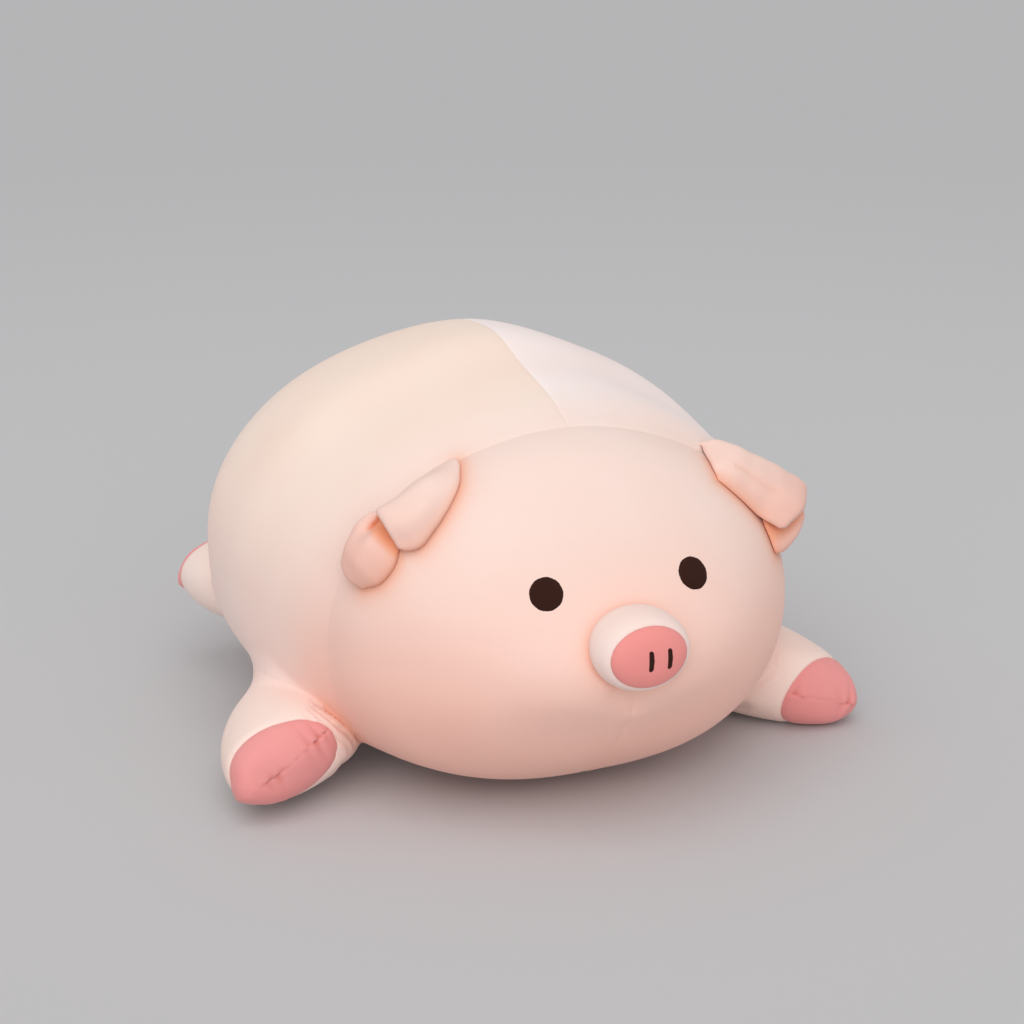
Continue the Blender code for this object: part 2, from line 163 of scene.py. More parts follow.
def meshFrom(points, faces):
    mesh = bmesh.new()
    verts = [mesh.verts.new(point) for point in points]
    for face in faces:
        mesh.faces.new([verts[i] for i in face])
    bmesh.ops.recalc_face_normals(mesh, faces=mesh.faces[:])
    mesh.normal_update()
    return mesh


def places(mesh):
    return np.array([vert.co[:] for vert in mesh.verts])


def normals(mesh):
    mesh.normal_update()
    return np.array([vert.normal[:] for vert in mesh.verts])


def ringFaces(rings, count):
    # the quads between rings of points that follow each other
    return [
        (k * count + i, k * count + (i + 1) % count, (k + 1) * count + (i + 1) % count, (k + 1) * count + i)
        for k in range(rings) for i in range(count)]


def move(mesh, points):
    for vert, point in zip(mesh.verts, points):
        vert.co = point
    mesh.normal_update()


def soften(mesh, rounds):
    for _ in range(rounds):
        bmesh.ops.smooth_vert(
            mesh, verts=mesh.verts[:], factor=0.5, use_axis_x=True, use_axis_y=True, use_axis_z=True)
    mesh.normal_update()


def rememberNormals(mesh):
    # keeps the smooth form's normals, so that later cuts don't disturb them
    mesh.normal_update()
    layer = mesh.verts.layers.float_vector.new("outward")
    for vert in mesh.verts:
        vert[layer] = vert.normal


def keptNormals(mesh):
    layer = mesh.verts.layers.float_vector["outward"]
    found = np.array([vert[layer][:] for vert in mesh.verts])
    found /= np.maximum(lengths(found), tiny)[:, None]
    for vert, normal in zip(mesh.verts, found):
        vert[layer] = normal
    return found


cutFacts = {
    "reach": 20 * mm,
    "slide": 0.35 * mm,       # what is closer to a plane than this slides onto it
    "flattest": 0.3,
    "weld": 0.28 * mm,
    "weldReach": 1 * mm,
    "touch": 2e-5,
}


def cutAlong(mesh, point, normal, offsets, reach=cutFacts["reach"]):
    # adds edges to the mesh where planes beside each other meet it; what is close to a plane slides onto it first
    away = (places(mesh) - np.array(point)) @ (np.array(normal) / np.linalg.norm(normal))
    widest = max(offsets) + reach
    verts = [vert for vert, off in zip(mesh.verts, away) if abs(off) < widest]
    point = Vector(point)
    normal = Vector(normal).normalized()
    for offset in offsets:
        for vert in verts:
            off = (vert.co - point).dot(normal) - offset
            if abs(off) <= cutFacts["slide"]:
                slide = normal - vert.normal * vert.normal.dot(normal)
                if slide.length > cutFacts["flattest"]:
                    vert.co -= slide * off / slide.length_squared
        faces = dict.fromkeys(face for vert in verts for face in vert.link_faces)
        geometry = dict(faces)
        for face in faces:
            geometry.update(dict.fromkeys([*face.verts, *face.edges]))
        made = bmesh.ops.bisect_plane(
            mesh, geom=list(geometry), dist=cutFacts["touch"], plane_co=point + normal * offset, plane_no=normal)
        verts = list(dict.fromkeys(
            [*verts, *(item for item in made["geom_cut"] if isinstance(item, bmesh.types.BMVert))]))
        near = [vert for vert in verts if abs((vert.co - point).dot(normal) - offset) < cutFacts["weldReach"]]
        bmesh.ops.remove_doubles(mesh, verts=near, dist=cutFacts["weld"])
        verts = [vert for vert in verts if vert.is_valid]
        for vert in verts:
            vert.normal_update()


def markPanels(mesh, panelOf):
    # notes which panel each face belongs to, before the seams are pressed in
    layer = mesh.faces.layers.int.new("panel")
    for face in mesh.faces:
        face[layer] = panelOf(np.array(face.calc_center_median()))


seamFacts = {
    "cloth": 1.2 * mm,
    "turnIn": 1.6 * mm,
    "gap": 0.03 * mm,
}


def turnIn(mesh, crisp):
    # rolls the cut edge of a panel inward, as the cloth does at a seam; a crisp one shows only as a hairline
    outward = mesh.verts.layers.float_vector["outward"]
    rim = [edge for edge in mesh.edges if edge.is_boundary]
    rimVerts = dict.fromkeys(vert for edge in rim for vert in edge.verts)
    inwardOf = {}
    for vert in rimVerts:
        centre = Vector((0, 0, 0))
        for face in vert.link_faces:
            centre += face.calc_center_median()
        centre /= len(vert.link_faces)
        away = centre - vert.co
        normal = vert[outward]
        away -= normal * away.dot(normal)
        edges = [edge for edge in vert.link_edges if edge.is_boundary]
        if len(edges) == 2:
            line = (edges[0].other_vert(vert).co - edges[1].other_vert(vert).co).normalized()
            away -= line * away.dot(line)
        inwardOf[vert] = away.normalized()
    for vert, away in inwardOf.items():
        vert.co += away * seamFacts["gap"]
    for edge in rim:
        edge.smooth = not crisp
    made = bmesh.ops.extrude_edge_only(mesh, edges=rim)
    fresh = [item for item in made["geom"] if isinstance(item, bmesh.types.BMVert)]
    for vert in fresh:
        vert.co -= vert[outward] * seamFacts["turnIn"]
    mesh.normal_update()


def makePiece(name, mesh, material, thickness=0.0):
    data = bpy.data.meshes.new(name)
    mesh.to_mesh(data)
    mesh.free()
    data.polygons.foreach_set("use_smooth", [True] * len(data.polygons))
    if material:
        data.materials.append(material)
    piece = bpy.data.objects.new(name, data)
    bpy.context.scene.collection.objects.link(piece)
    if thickness:
        shell = piece.modifiers.new("cloth", "SOLIDIFY")
        shell.thickness = thickness
        shell.offset = -1
        settle(piece)
    return piece


plumpFacts = {
    "pressure": 4.0,
    "mass": 0.01,
    "frames": 20,
    "quality": 3,
}


def plump(mesh, inset, cap, ease):
    # cloth filled under pressure: cut a little larger than the form it starts from, by the ease, it swells no further
    # than the cap, and is then refined once
    move(mesh, places(mesh) - normals(mesh) * inset)
    piece = makePiece("plumping", mesh, None)
    start = piecePlaces(piece)
    end = start + inset * vertexNormals(piece)
    cloth = piece.modifiers.new("cloth", "CLOTH")
    cloth.settings.quality = plumpFacts["quality"]
    cloth.settings.mass = plumpFacts["mass"]
    cloth.settings.shrink_min = -ease
    cloth.settings.use_pressure = True
    cloth.settings.uniform_pressure_force = plumpFacts["pressure"]
    cloth.settings.effector_weights.gravity = 0
    cloth.point_cache.frame_start = 1
    cloth.point_cache.frame_end = plumpFacts["frames"]
    for step in range(1, plumpFacts["frames"] + 1):
        bpy.context.scene.frame_set(step)
    settle(piece)
    moved = piecePlaces(piece) - start
    end = start + moved * np.minimum(cap / np.maximum(lengths(moved), tiny), 1)[:, None]
    bpy.context.scene.frame_set(1)
    piece.data.vertices.foreach_set("co", end.ravel())
    finer = piece.modifiers.new("finer", "SUBSURF")
    finer.levels = 1
    settle(piece)
    result = bmesh.new()
    result.from_mesh(piece.data)
    bpy.data.objects.remove(piece)
    return result


def makePanel(mesh, number, name, material, crisp):
    # one marked panel of the mesh, its edges turned in, as cloth of its real thickness
    part = mesh.copy()
    layer = part.faces.layers.int["panel"]
    bmesh.ops.delete(part, geom=[face for face in part.faces if face[layer] != number], context="FACES")
    turnIn(part, crisp)
    piece = makePiece(name, part, material, seamFacts["cloth"])
    return piece, piecePlaces(piece)


def settle(piece):
    # applies the piece's modifiers
    bpy.context.view_layer.update()
    graph = bpy.context.evaluated_depsgraph_get()
    data = bpy.data.meshes.new_from_object(piece.evaluated_get(graph))
    piece.modifiers.clear()
    old = piece.data
    piece.data = data
    bpy.data.meshes.remove(old)
    data.name = piece.name


def vertexNormals(piece):
    found = np.zeros(len(piece.data.vertices) * 3)
    piece.data.vertex_normals.foreach_get("vector", found)
    return found.reshape(-1, 3)


def piecePlaces(piece):
    points = np.zeros(len(piece.data.vertices) * 3)
    piece.data.vertices.foreach_get("co", points)
    return points.reshape(-1, 3)


def share(piece, name, values):
    # a number, or a vector, at each vertex, for the material to read
    values = np.asarray(values, np.float32)
    kind, key = ("FLOAT_VECTOR", "vector") if values.ndim == 2 else ("FLOAT", "value")
    attribute = piece.data.attributes.get(name) or piece.data.attributes.new(name, kind, "POINT")
    attribute.data.foreach_set(key, values.ravel())


def shareKnit(piece, across, along):
    # where each vertex lies in the cloth's own loops, in metres
    share(piece, "knit", np.stack([across, along, across * 0], -1))


def nearestOf(targets, reach=0.03):
    # a function that gives the distance of points from the nearest of the targets, or 1 beyond the reach
    tree = KDTree(len(targets))
    for i, point in enumerate(targets):
        tree.insert(point, i)
    tree.balance()
    low = targets.min(0) - reach
    high = targets.max(0) + reach

    def distances(points):
        result = np.ones(len(points))
        for i in np.nonzero(((points > low) & (points < high)).all(1))[0]:
            result[i] = tree.find(points[i])[2]
        return result

    return distances


# Camera: the photograph's angle, about 22.6 degrees to the pig's right and 19.4 above level

cameraFacts = {
    "azimuth": -22.5538,
    "elevation": 19.3735,
    "distance": 2.0902,
    "target": (0, 0, 0.12),
    "lens": 106.258,
    "shift": (0.00881, 0.04608),
}


def makeCamera():
    azimuth = math.radians(cameraFacts["azimuth"])
    elevation = math.radians(cameraFacts["elevation"])
    back = Vector((
        math.sin(azimuth) * math.cos(elevation),
        -math.cos(azimuth) * math.cos(elevation),
        math.sin(elevation)))
    right = Vector((math.cos(azimuth), math.sin(azimuth), 0))
    up = back.cross(right)
    data = bpy.data.cameras.new("camera")
    data.sensor_width = 36
    data.lens = cameraFacts["lens"]
    data.shift_x, data.shift_y = cameraFacts["shift"]
    camera = bpy.data.objects.new("camera", data)
    turn = Matrix((right, up, back)).transposed().to_4x4()
    camera.matrix_world = Matrix.Translation(Vector(cameraFacts["target"]) + back * cameraFacts["distance"]) @ turn
    bpy.context.scene.collection.objects.link(camera)
    bpy.context.scene.camera = camera


makeCamera()


# Materials

knitFacts = {
    "roughness": 0.86,
    "specular": 0.25,
    "sheenRoughness": 0.45,
    "sheenTint": (1.0, 0.9, 0.86, 1.0),
    "blotchScale": 9.0,
    "blotchRange": (0.35, 0.65),
    "loopWidth": 0.8 * mm,
    "loopHeight": 0.65 * mm,
    "loopLean": 2.4,
    "loopShare": 0.5,
    "columnShare": 0.35,
    "patternShare": 0.30,
    "fibreScale": 1900.0,
    "fleckRange": (0.1, 1.0),
    "fleckShade": (0.955, 0.945, 0.94),
    "bumpStrength": 0.5,
}
threadFacts = {
    "colour": (0.050, 0.014, 0.008),
    "valleyShadeShare": 0.6,
    "roughness": 0.62,
    "specular": 0.12,
    "width": 0.42 * mm,
    "waverScale": 300.0,
    "waver": 2.0,
    "bump": 0.09 * mm,
    "bumpStrength": 0.8,
}


class Nodes:
    # a short way to add shader nodes and link them
    def __init__(self, name):
        self.material = bpy.data.materials.new(name)
        self.material.use_nodes = True
        self.tree = self.material.node_tree
        self.shader = self.tree.nodes["Principled BSDF"]

    def add(self, kind, links=None, **settings):
        node = self.tree.nodes.new(kind)
        for key, value in settings.items():
            if key.startswith("in_"):
                name = key[3:]
                node.inputs[int(name) if name.isdigit() else name].default_value = value
            else:
                setattr(node, key, value)
        for key, source in (links or {}).items():
            self.tree.links.new(source, node.inputs[key])
        return node

    def math(self, operation, first, second=None):
        node = self.add("ShaderNodeMath", operation=operation)
        for slot, value in ((0, first), (1, second)):
            if isinstance(value, (int, float)):
                node.inputs[slot].default_value = value
            elif value is not None:
                self.tree.links.new(value, node.inputs[slot])
        return node.outputs[0]

    def mix(self, factor, first, second, blend="MIX"):
        node = self.add("ShaderNodeMix", data_type="RGBA", blend_type=blend)
        for slot, value in ((0, factor), (6, first), (7, second)):
            if isinstance(value, (int, float)):
                node.inputs[slot].default_value = value
            elif isinstance(value, tuple):
                node.inputs[slot].default_value = (*value, 1.0)
            else:
                self.tree.links.new(value, node.inputs[slot])
        return node.outputs[2]

    def ramp(self, source, low, high):
        node = self.add("ShaderNodeMapRange", {0: source})
        node.interpolation_type = "SMOOTHSTEP"
        node.inputs[1].default_value = low
        node.inputs[2].default_value = high
        return node.outputs[0]

    def noise(self, spot, scale):
        return self.add("ShaderNodeTexNoise", {"Vector": spot}, in_Scale=scale, in_Detail=2.0).outputs[0]

    def attribute(self, name, output):
        return self.add("ShaderNodeAttribute", attribute_name=name).outputs[output]

    def set(self, name, value):
        self.shader.inputs[name].default_value = value

    def finish(self, base, height=None, depth=0.0, strength=0.0):
        # links the colour, and the relief if there is one
        self.tree.links.new(base, self.shader.inputs["Base Color"])
        if height is not None:
            bump = self.add("ShaderNodeBump", {"Height": height}, in_Distance=depth, in_Strength=strength)
            self.tree.links.new(bump.outputs[0], self.shader.inputs["Normal"])
        return self.material


def knitMaterial(name, colours):
    # a fine jersey: loops in columns, soft fibre on top, the colour a little uneven
    nodes = Nodes(name)
    nodes.set("Roughness", knitFacts["roughness"])
    nodes.set("Specular IOR Level", knitFacts["specular"])
    nodes.set("Sheen Weight", colours["sheen"])
    nodes.set("Sheen Roughness", knitFacts["sheenRoughness"])
    nodes.set("Sheen Tint", knitFacts["sheenTint"])
    spot = nodes.add("ShaderNodeTexCoord").outputs["Object"]
    height = nodes.add("ShaderNodeSeparateXYZ", {0: spot}).outputs[2]
    # partly painted light: paler on top where the light falls, deeper and more saturated low down as shade tinted by
    # light bounced off the pink cloth; the rest is the cloth's own colour
    low = nodes.ramp(height, colours["lowFrom"], colours["lowTo"])
    base = nodes.mix(low, colours["top"], colours["low"])
    if "farTop" in colours:
        tone = nodes.attribute("tone", "Fac")
        base = nodes.mix(tone, base, nodes.mix(low, colours["farTop"], colours["farLow"]))
    blotches = nodes.noise(spot, knitFacts["blotchScale"])
    blotches = nodes.ramp(blotches, *knitFacts["blotchRange"])
    base = nodes.mix(blotches, base, nodes.mix(1.0, base, colours["blotch"], "MULTIPLY"))
    # painted glow: the orange of light bounced between the pink surfaces, put into the colour in the creases
    base = nodes.mix(nodes.attribute("paintedGlow", "Fac"), base, colours["paintedGlowColour"])
    knit = nodes.attribute("knit", "Vector")
    across, along = nodes.add("ShaderNodeSeparateXYZ", {0: knit}).outputs[:2]
    turn = nodes.math("MULTIPLY", across, 2 * math.pi / knitFacts["loopWidth"])
    step = nodes.math("MULTIPLY", along, 2 * math.pi / knitFacts["loopHeight"])
    slope = nodes.math("ABSOLUTE", nodes.math("SINE", nodes.math("MULTIPLY", turn, 0.5)))
    loops = nodes.math("SINE", nodes.math("ADD", step, nodes.math("MULTIPLY", slope, knitFacts["loopLean"])))
    loops = nodes.math("MULTIPLY", loops, knitFacts["loopShare"])
    columns = nodes.math("MULTIPLY", nodes.math("COSINE", turn), knitFacts["columnShare"])
    pattern = nodes.math("MULTIPLY", nodes.math("ADD", loops, columns), knitFacts["patternShare"])
    surface = nodes.math("ADD", pattern, nodes.noise(spot, knitFacts["fibreScale"]))
    # darker where the knit's relief is low: partly real flecks of the fibre, partly painted shade in the loops'
    # hollows
    fleck = nodes.ramp(surface, *knitFacts["fleckRange"])
    base = nodes.mix(fleck, nodes.mix(1.0, base, knitFacts["fleckShade"], "MULTIPLY"), base)
    return nodes.finish(base, surface, colours["bump"], knitFacts["bumpStrength"])


def threadMaterial(name):
    # satin stitches: fine threads side by side, with a soft gloss along them
    nodes = Nodes(name)
    nodes.set("Roughness", threadFacts["roughness"])
    nodes.set("Specular IOR Level", threadFacts["specular"])
    across = nodes.add("ShaderNodeSeparateXYZ", {0: nodes.attribute("knit", "Vector")}).outputs[0]
    spot = nodes.add("ShaderNodeTexCoord").outputs["Object"]
    waver = nodes.math("MULTIPLY", nodes.noise(spot, threadFacts["waverScale"]), threadFacts["waver"])
    lines = nodes.math("ADD", nodes.math("MULTIPLY", across, 2 * math.pi / threadFacts["width"]), waver)
    ridges = nodes.math("SINE", lines)
    colour = threadFacts["colour"]
    # painted shade: the thread is darker in the valleys between the stitches
    valley = tuple(part * threadFacts["valleyShadeShare"] for part in colour)
    base = nodes.mix(nodes.ramp(ridges, -1.0, 1.0), valley, colour)
    return nodes.finish(base, ridges, threadFacts["bump"], threadFacts["bumpStrength"])


peachColours = {
    # top and low: partly painted light, the top paler as lit from above and the lower colour painted shade tinted by
    # bounced light
    "top": (0.925, 0.76, 0.695),
    "low": (0.985, 0.585, 0.485),
    "blotch": (1.0, 0.96, 0.945),
    # the colour of the painted glow of bounced light in the creases
    "paintedGlowColour": (0.86, 0.35, 0.19),
    "lowFrom": 0.26,          # the height at which the lower colour begins, and at which it is full
    "lowTo": 0.03,
    "sheen": 0.22,
    "bump": 0.10 * mm,
}
warmBackColours = {**peachColours, "farTop": (0.96, 0.79, 0.685), "farLow": (0.965, 0.75, 0.70)}
coolBackColours = {**peachColours, "farTop": (0.99, 0.885, 0.865), "farLow": (0.93, 0.68, 0.62)}
legColours = {
    **peachColours,
    "top": (0.955, 0.785, 0.715),
    # a little darker low down: painted shade near the floor
    "low": (0.94, 0.73, 0.655),
    "farTop": (0.955, 0.725, 0.665),    # where it meets the body
    "farLow": (0.955, 0.69, 0.62),
    "lowFrom": 0.06,
    "lowTo": 0.0,
}
# more saturated than the body: painted glow of light through the thin ear, with painted shade lower down
earColours = {**peachColours, "top": (0.94, 0.72, 0.64), "low": (0.885, 0.53, 0.445), "lowFrom": 0.24, "lowTo": 0.17}
# paler than the body's peach, which is the same cloth: painted light, as the snout is lit from above
snoutColours = {**peachColours, "top": (0.945, 0.79, 0.74), "low": (0.93, 0.74, 0.68)}
pinkColours = {
    "top": (0.87, 0.365, 0.36),
    # a little darker low down: painted shade near the floor
    "low": (0.84, 0.33, 0.32),
    "blotch": (1.0, 0.93, 0.92),
    # the colour of the painted glow of bounced light in the creases
    "paintedGlowColour": (0.66, 0.17, 0.12),
    "lowFrom": 0.09,
    "lowTo": 0.0,
    "sheen": 0.25,
    "bump": 0.12 * mm,
}
snoutPinkColours = {**pinkColours, "top": (0.89, 0.325, 0.305)}
peach = knitMaterial("peachKnit", peachColours)
warmPeach = knitMaterial("backKnitWarm", warmBackColours)
legPeach = knitMaterial("legKnit", legColours)
coolPeach = knitMaterial("backKnitCool", coolBackColours)
earPeach = knitMaterial("earKnit", earColours)
snoutPeach = knitMaterial("snoutKnit", snoutColours)
pink = knitMaterial("pinkKnit", pinkColours)
snoutPink = knitMaterial("snoutPinkKnit", snoutPinkColours)
thread = threadMaterial("brownThread")


# Body and head: one swelling form, sewn from four panels

bodyFacts = {
    "length": 442 * mm,
    "width": 382 * mm,
    "height": 281 * mm,
    "faceReach": 224 * mm,
    "stations": (0.0, 0.04, 0.12, 0.22, 0.34, 0.44, 0.54, 0.66, 0.78, 0.88, 0.96, 1.0),
    "widths": (0.0, 0.374, 0.627, 0.803, 0.902, 0.968, 1.0, 0.992, 0.880, 0.665, 0.385, 0.0),
    "middles": (0.399, 0.410, 0.420, 0.431, 0.440, 0.447, 0.455, 0.456, 0.454, 0.453, 0.451, 0.449),
    "rises": (0.0, 0.132, 0.315, 0.435, 0.490, 0.513, 0.545, 0.524, 0.452, 0.335, 0.200, 0.0),
    "sinks": (0.0, 0.132, 0.289, 0.396, 0.443, 0.468, 0.476, 0.463, 0.400, 0.310, 0.195, 0.0),
    "upperFullness": (2.1, 1.9, 2.3),
    "lowerFullness": (2.4, 2.3, 2.4),
    "gridCount": 42,
    "softening": 4,
    "plump": (2.5 * mm, 5 * mm, 0.014),    # how far it starts inside, how far it may swell, the ease of its cloth
    "fineReach": 11 * mm,
    # how far the top of this one leans to its right, from which height; how far its left and right shoulder sink, and
    # the left one's share to the side; where they do: the heights, the places along it, the distance from its middle
    "lean": (6 * mm, 0.10),
    "slump": (9 * mm, 2.5 * mm, 0.5),
    "slumpZone": ((0.14, 0.22), (-0.09, -0.01), 0.10),
    "neckPoint": (0, -96.5 * mm, 120 * mm),
    "neckLean": 6.0,
    "neckValley": (3.0 * mm, 18 * mm, (0.03, 0.10)),    # depth, spread, and from where to where up it deepens
    "neckSeam": (1.1 * mm, 8 * mm),   # every seam: its depth and its width
    "neckFading": (0.35, (0.13, 0.21)),    # how much of it is left low down, and the heights between
    "backSeam": (0.35 * mm, 4 * mm),
    "bellySeam": (1.0 * mm, 5 * mm),
    "chinSeam": (0.5 * mm, 4 * mm),
    "chinStart": (-15 * mm, -30 * mm),     # where under the snout's middle it begins
    "snoutSeam": (1.0 * mm, 8 * mm),
    "seamEnds": 5 * mm,
    "cuts": (-3.5 * mm, -1.2 * mm, 0, 1.2 * mm, 3.5 * mm),    # beside each seam
    "legReach": 0.16,         # how far from a leg's root the two may join
    "joinOverSeams": (3 * mm, 0.2 * mm),    # a join this high has no seam in it, one this low all of it
    "bellyHeight": 42 * mm,
    "lumps": (0.5 * mm, 0.11, 4),     # how high, how wide in metres, and the seed of their places
    "knit": (0.126, 0.16),            # the loops run round this height, with this radius, in metres
    "toneReach": 55 * mm,
    # the painted glow of light bounced into the creases round the snout, the front legs and the ears: first how
    # strong, and how wide
    "snoutPaintedGlow": (0.45, 4 * mm, 0.35, 20 * mm, 0.5),    # its share over the snout, where that changes, the slope
    "legPaintedGlow": (0.6, 8 * mm, 0.14),      # how far from a leg's root
    "earPaintedGlow": (0.95, 5.5 * mm, 0.62, 0.13),    # the most there is, and from which height up
}

neckPoint = np.array(bodyFacts["neckPoint"])
neckTurn = math.radians(bodyFacts["neckLean"])
neckNormal = np.array((0, math.cos(neckTurn), math.sin(neckTurn)))


def swell(shares, along):
    return np.sqrt(np.maximum(smoothCurve(bodyFacts["stations"], np.array(shares) ** 2, along), 0))


def bodyPlaces(units):
    along = (1 + units[:, 2]) / 2
    _, side, rise = ringShares(units)
    ends = (0, 0.5, 1)
    fullness = np.where(
        rise > 0,
        np.interp(along, ends, bodyFacts["upperFullness"]),
        np.interp(along, ends, bodyFacts["lowerFullness"]))
    half = swell(bodyFacts["widths"], along) * bodyFacts["width"] / 2
    middle = smoothCurve(bodyFacts["stations"], bodyFacts["middles"], along) * bodyFacts["height"]
    reach = np.where(rise > 0, swell(bodyFacts["rises"], along), swell(bodyFacts["sinks"], along))
    reach *= bodyFacts["height"]
    return np.stack([
        half * rounded(side, fullness),
        along * bodyFacts["length"] - bodyFacts["faceReach"],
        middle + reach * rounded(rise, fullness)], -1)


def neckDistance(points):
    return (points - neckPoint) @ neckNormal


def lean(points):
    # this one slumps a little: its top lies to its right
    moved = points.copy()
    top, start = bodyFacts["lean"]
    moved[:, 0] -= top * fade(points[:, 2], start, bodyFacts["height"])
    left, right, aside = bodyFacts["slump"]
    heights, behind, side = bodyFacts["slumpZone"]
    high = fade(points[:, 2], *heights) * fade(points[:, 1], *behind)
    sunk = left * high * fade(points[:, 0], 0.0, side)
    moved[:, 2] -= sunk + right * high * fade(points[:, 0], 0.0, -side)
    moved[:, 0] -= sunk * aside
    return moved


def bodyForm():
    points, quads = ballGrid(bodyFacts["gridCount"])
    mesh = meshFrom(bodyPlaces(points), quads)
    soften(mesh, bodyFacts["softening"])
    mesh = plump(mesh, *bodyFacts["plump"])
    valley, spread, heights = bodyFacts["neckValley"]
    points = places(mesh)
    outward = normals(mesh)
    upper = fade(points[:, 2], *heights)
    depth = valley * np.exp(-(neckDistance(points) / spread) ** 2) * upper
    points -= outward * depth[:, None]
    height, width, seed = bodyFacts["lumps"]
    points += outward * (height * ripple(points, width, seed))[:, None]
    points = lean(points)
    points[:, 2] = np.maximum(points[:, 2], 0)
    move(mesh, points)
    return mesh


print("stage: body form")
body = bodyForm()
bodyTree = BVHTree.FromBMesh(body)


def overSurface(tree, points):
    # the distance of each point from a closed surface, negative inside it, and the surface's normal there
    heights = np.empty(len(points))
    facing = np.empty((len(points), 3))
    for i, point in enumerate(points):
        near, normal, _, distance = tree.find_nearest(Vector(point))
        heights[i] = distance if (Vector(point) - near).dot(normal) > 0 else -distance
        facing[i] = normal
    return heights, facing


def heightOver(tree, points):
    # the same distance alone, 0 for what is inside
    return np.maximum(overSurface(tree, points)[0], 0)


joinFacts = {
    "leastRadius": 1e-6,
    "leastCosine": 0.05,
    "halvings": 22,
    "inside": 0.6,            # how far under the other surface the swelling goes on, as a share of the radius
    "dive": (0.6, 0.04),      # how fast it dives under, and how far at most, as a share of the radius
}


def joinLift(heights, cosines, radius):
    # how far a surface swells where it meets another one, so that the two flow into each other, and how much nearer
    # it then is to itself than to the other one, under which it dives where that is negative
    radius = np.maximum(radius, joinFacts["leastRadius"])
    cosines = np.maximum(cosines, joinFacts["leastCosine"])
    low = np.zeros(len(heights))
    high = radius / 2
    for _ in range(joinFacts["halvings"]):
        guess = (low + high) / 2
        other = np.maximum(heights, 0) + guess * cosines
        near = np.maximum(radius - np.abs(guess - other), 0) / radius
        short = np.minimum(guess, other) - near ** 2 * radius / 4 < 0
        low = np.where(short, guess, low)
        high = np.where(short, high, guess)
    lift = (low + high) / 2
    ownSide = heights + lift * cosines - lift
    lift *= np.where(heights < 0, fade(heights, -radius * joinFacts["inside"], 0), 1) * (heights < radius)
    slope, most = joinFacts["dive"]
    return lift - np.clip(-slope * ownSide, 0, radius * most), ownSide


# Legs: every leg has the same form; +Y runs along it to the toe in its own frame, +X to its outer side

legFacts = {
    "rootRadius": 39 * mm,
    "rootHalfHeight": 32 * mm,
    "reach": 115 * mm,
    "halfWidth": 48 * mm,
    "toeHalfHeight": 37 * mm,
    "toeRoll": 25.0,
    "toeSkew": 0.60,
    "endShare": 0.55,
    "turnOut": 30.0,
    "fullness": 2.2,
    "frontRoot": (150.04 * mm, -12 * mm, 36.8 * mm),
    "hindRoot": (95.04 * mm, 101 * mm, 73 * mm),
    "clearance": 0.5 * mm,
    "gridCount": 28,
    "softening": 1,
    "plump": (1.2 * mm, 3 * mm, 0.03),    # how far it starts inside, how far it may swell, and the ease of its cloth
    "undercut": 0.22,                     # how far the toe's lower side draws back
    "frontJoin": (4 * mm, 26 * mm),       # how softly a front leg flows into the body, at the chin and at its top
    "hindJoin": (1 * mm, 36 * mm, 52 * mm, 84 * mm),    # at a hind leg: least, most, and where along it that ends
    # each leg's own toe: how far its seam turns inward and leans forward at its bottom, how deep the toe is,
    # its ridge's turn and drop, the toe's drop, and how much shorter the leg is
    "front_left": (0.05, -0.30, 18.5 * mm, 19.0, 1.5 * mm, 13 * mm, 6.5 * mm),
    "front_right": (0.52, 0.16, 20.5 * mm, 35.0, 1.5 * mm, 2 * mm, 3 * mm),
    "hind_left": (0.68, 0.1, 16 * mm, 25.0, 0.0, 0.0, 0.0),
    "hind_right": (0.68, 0.1, 16 * mm, 25.0, 0.0, 0.0, 0.0),
    "joinTop": (52 * mm, 20 * mm, -14 * mm, 10 * mm, 0.3),    # where on a front leg its top begins and ends
    "creaseSide": (-12 * mm, -36 * mm, 20 * mm, 42 * mm),
    "creaseBelow": (-4 * mm, -22 * mm, 0.5),
    # folds beside the chin: how deep, how far apart, how far they reach, then where they lie and how they waver
    "folds": (2.6 * mm, 6.5 * mm, 18 * mm),
    "foldZone": ((30 * mm, 48 * mm), (-8 * mm, -24 * mm), (-16 * mm, 2 * mm)),
    "foldWaver": (0.03, 8, 1.2),
    "cuts": (-4 * mm, -1.5 * mm, 0, 1.5 * mm, 4 * mm),
    "toeSeam": (1.3 * mm, 5 * mm),
    "toeStart": (-1 * mm, 3 * mm),
    "ridgeSeam": (0.6 * mm, 3 * mm),
    "crest": (1.5 * mm, 8 * mm, 3.0 * mm, 6 * mm, 2.0 * mm),    # the ridge stands proud, most at its outer end
    "tipZone": (16 * mm, 42 * mm),
    "flatZone": (5 * mm, 16 * mm),
    # puckers of the ridge: how deep, how far they reach, how far apart, how much those above and below it are out of
    # step, how sharp they are, where they gather, how wide each gathering is, and how much there is elsewhere
    "puckers": (2.3 * mm, 8 * mm, 8.5 * mm, 0.7, 4, (9 * mm, -28 * mm), 9 * mm, 0.12),
    "toneReach": 34 * mm,
    "paintedGlow": (0.75, 0.6, 7 * mm),    # painted glow of bounced light: in the folds, at the join, and how wide that is
    "knitRadius": 0.04,
    "bend": (0.01, 0.066),            # from where to where along the leg the cloth would bend; nothing here bends it
}


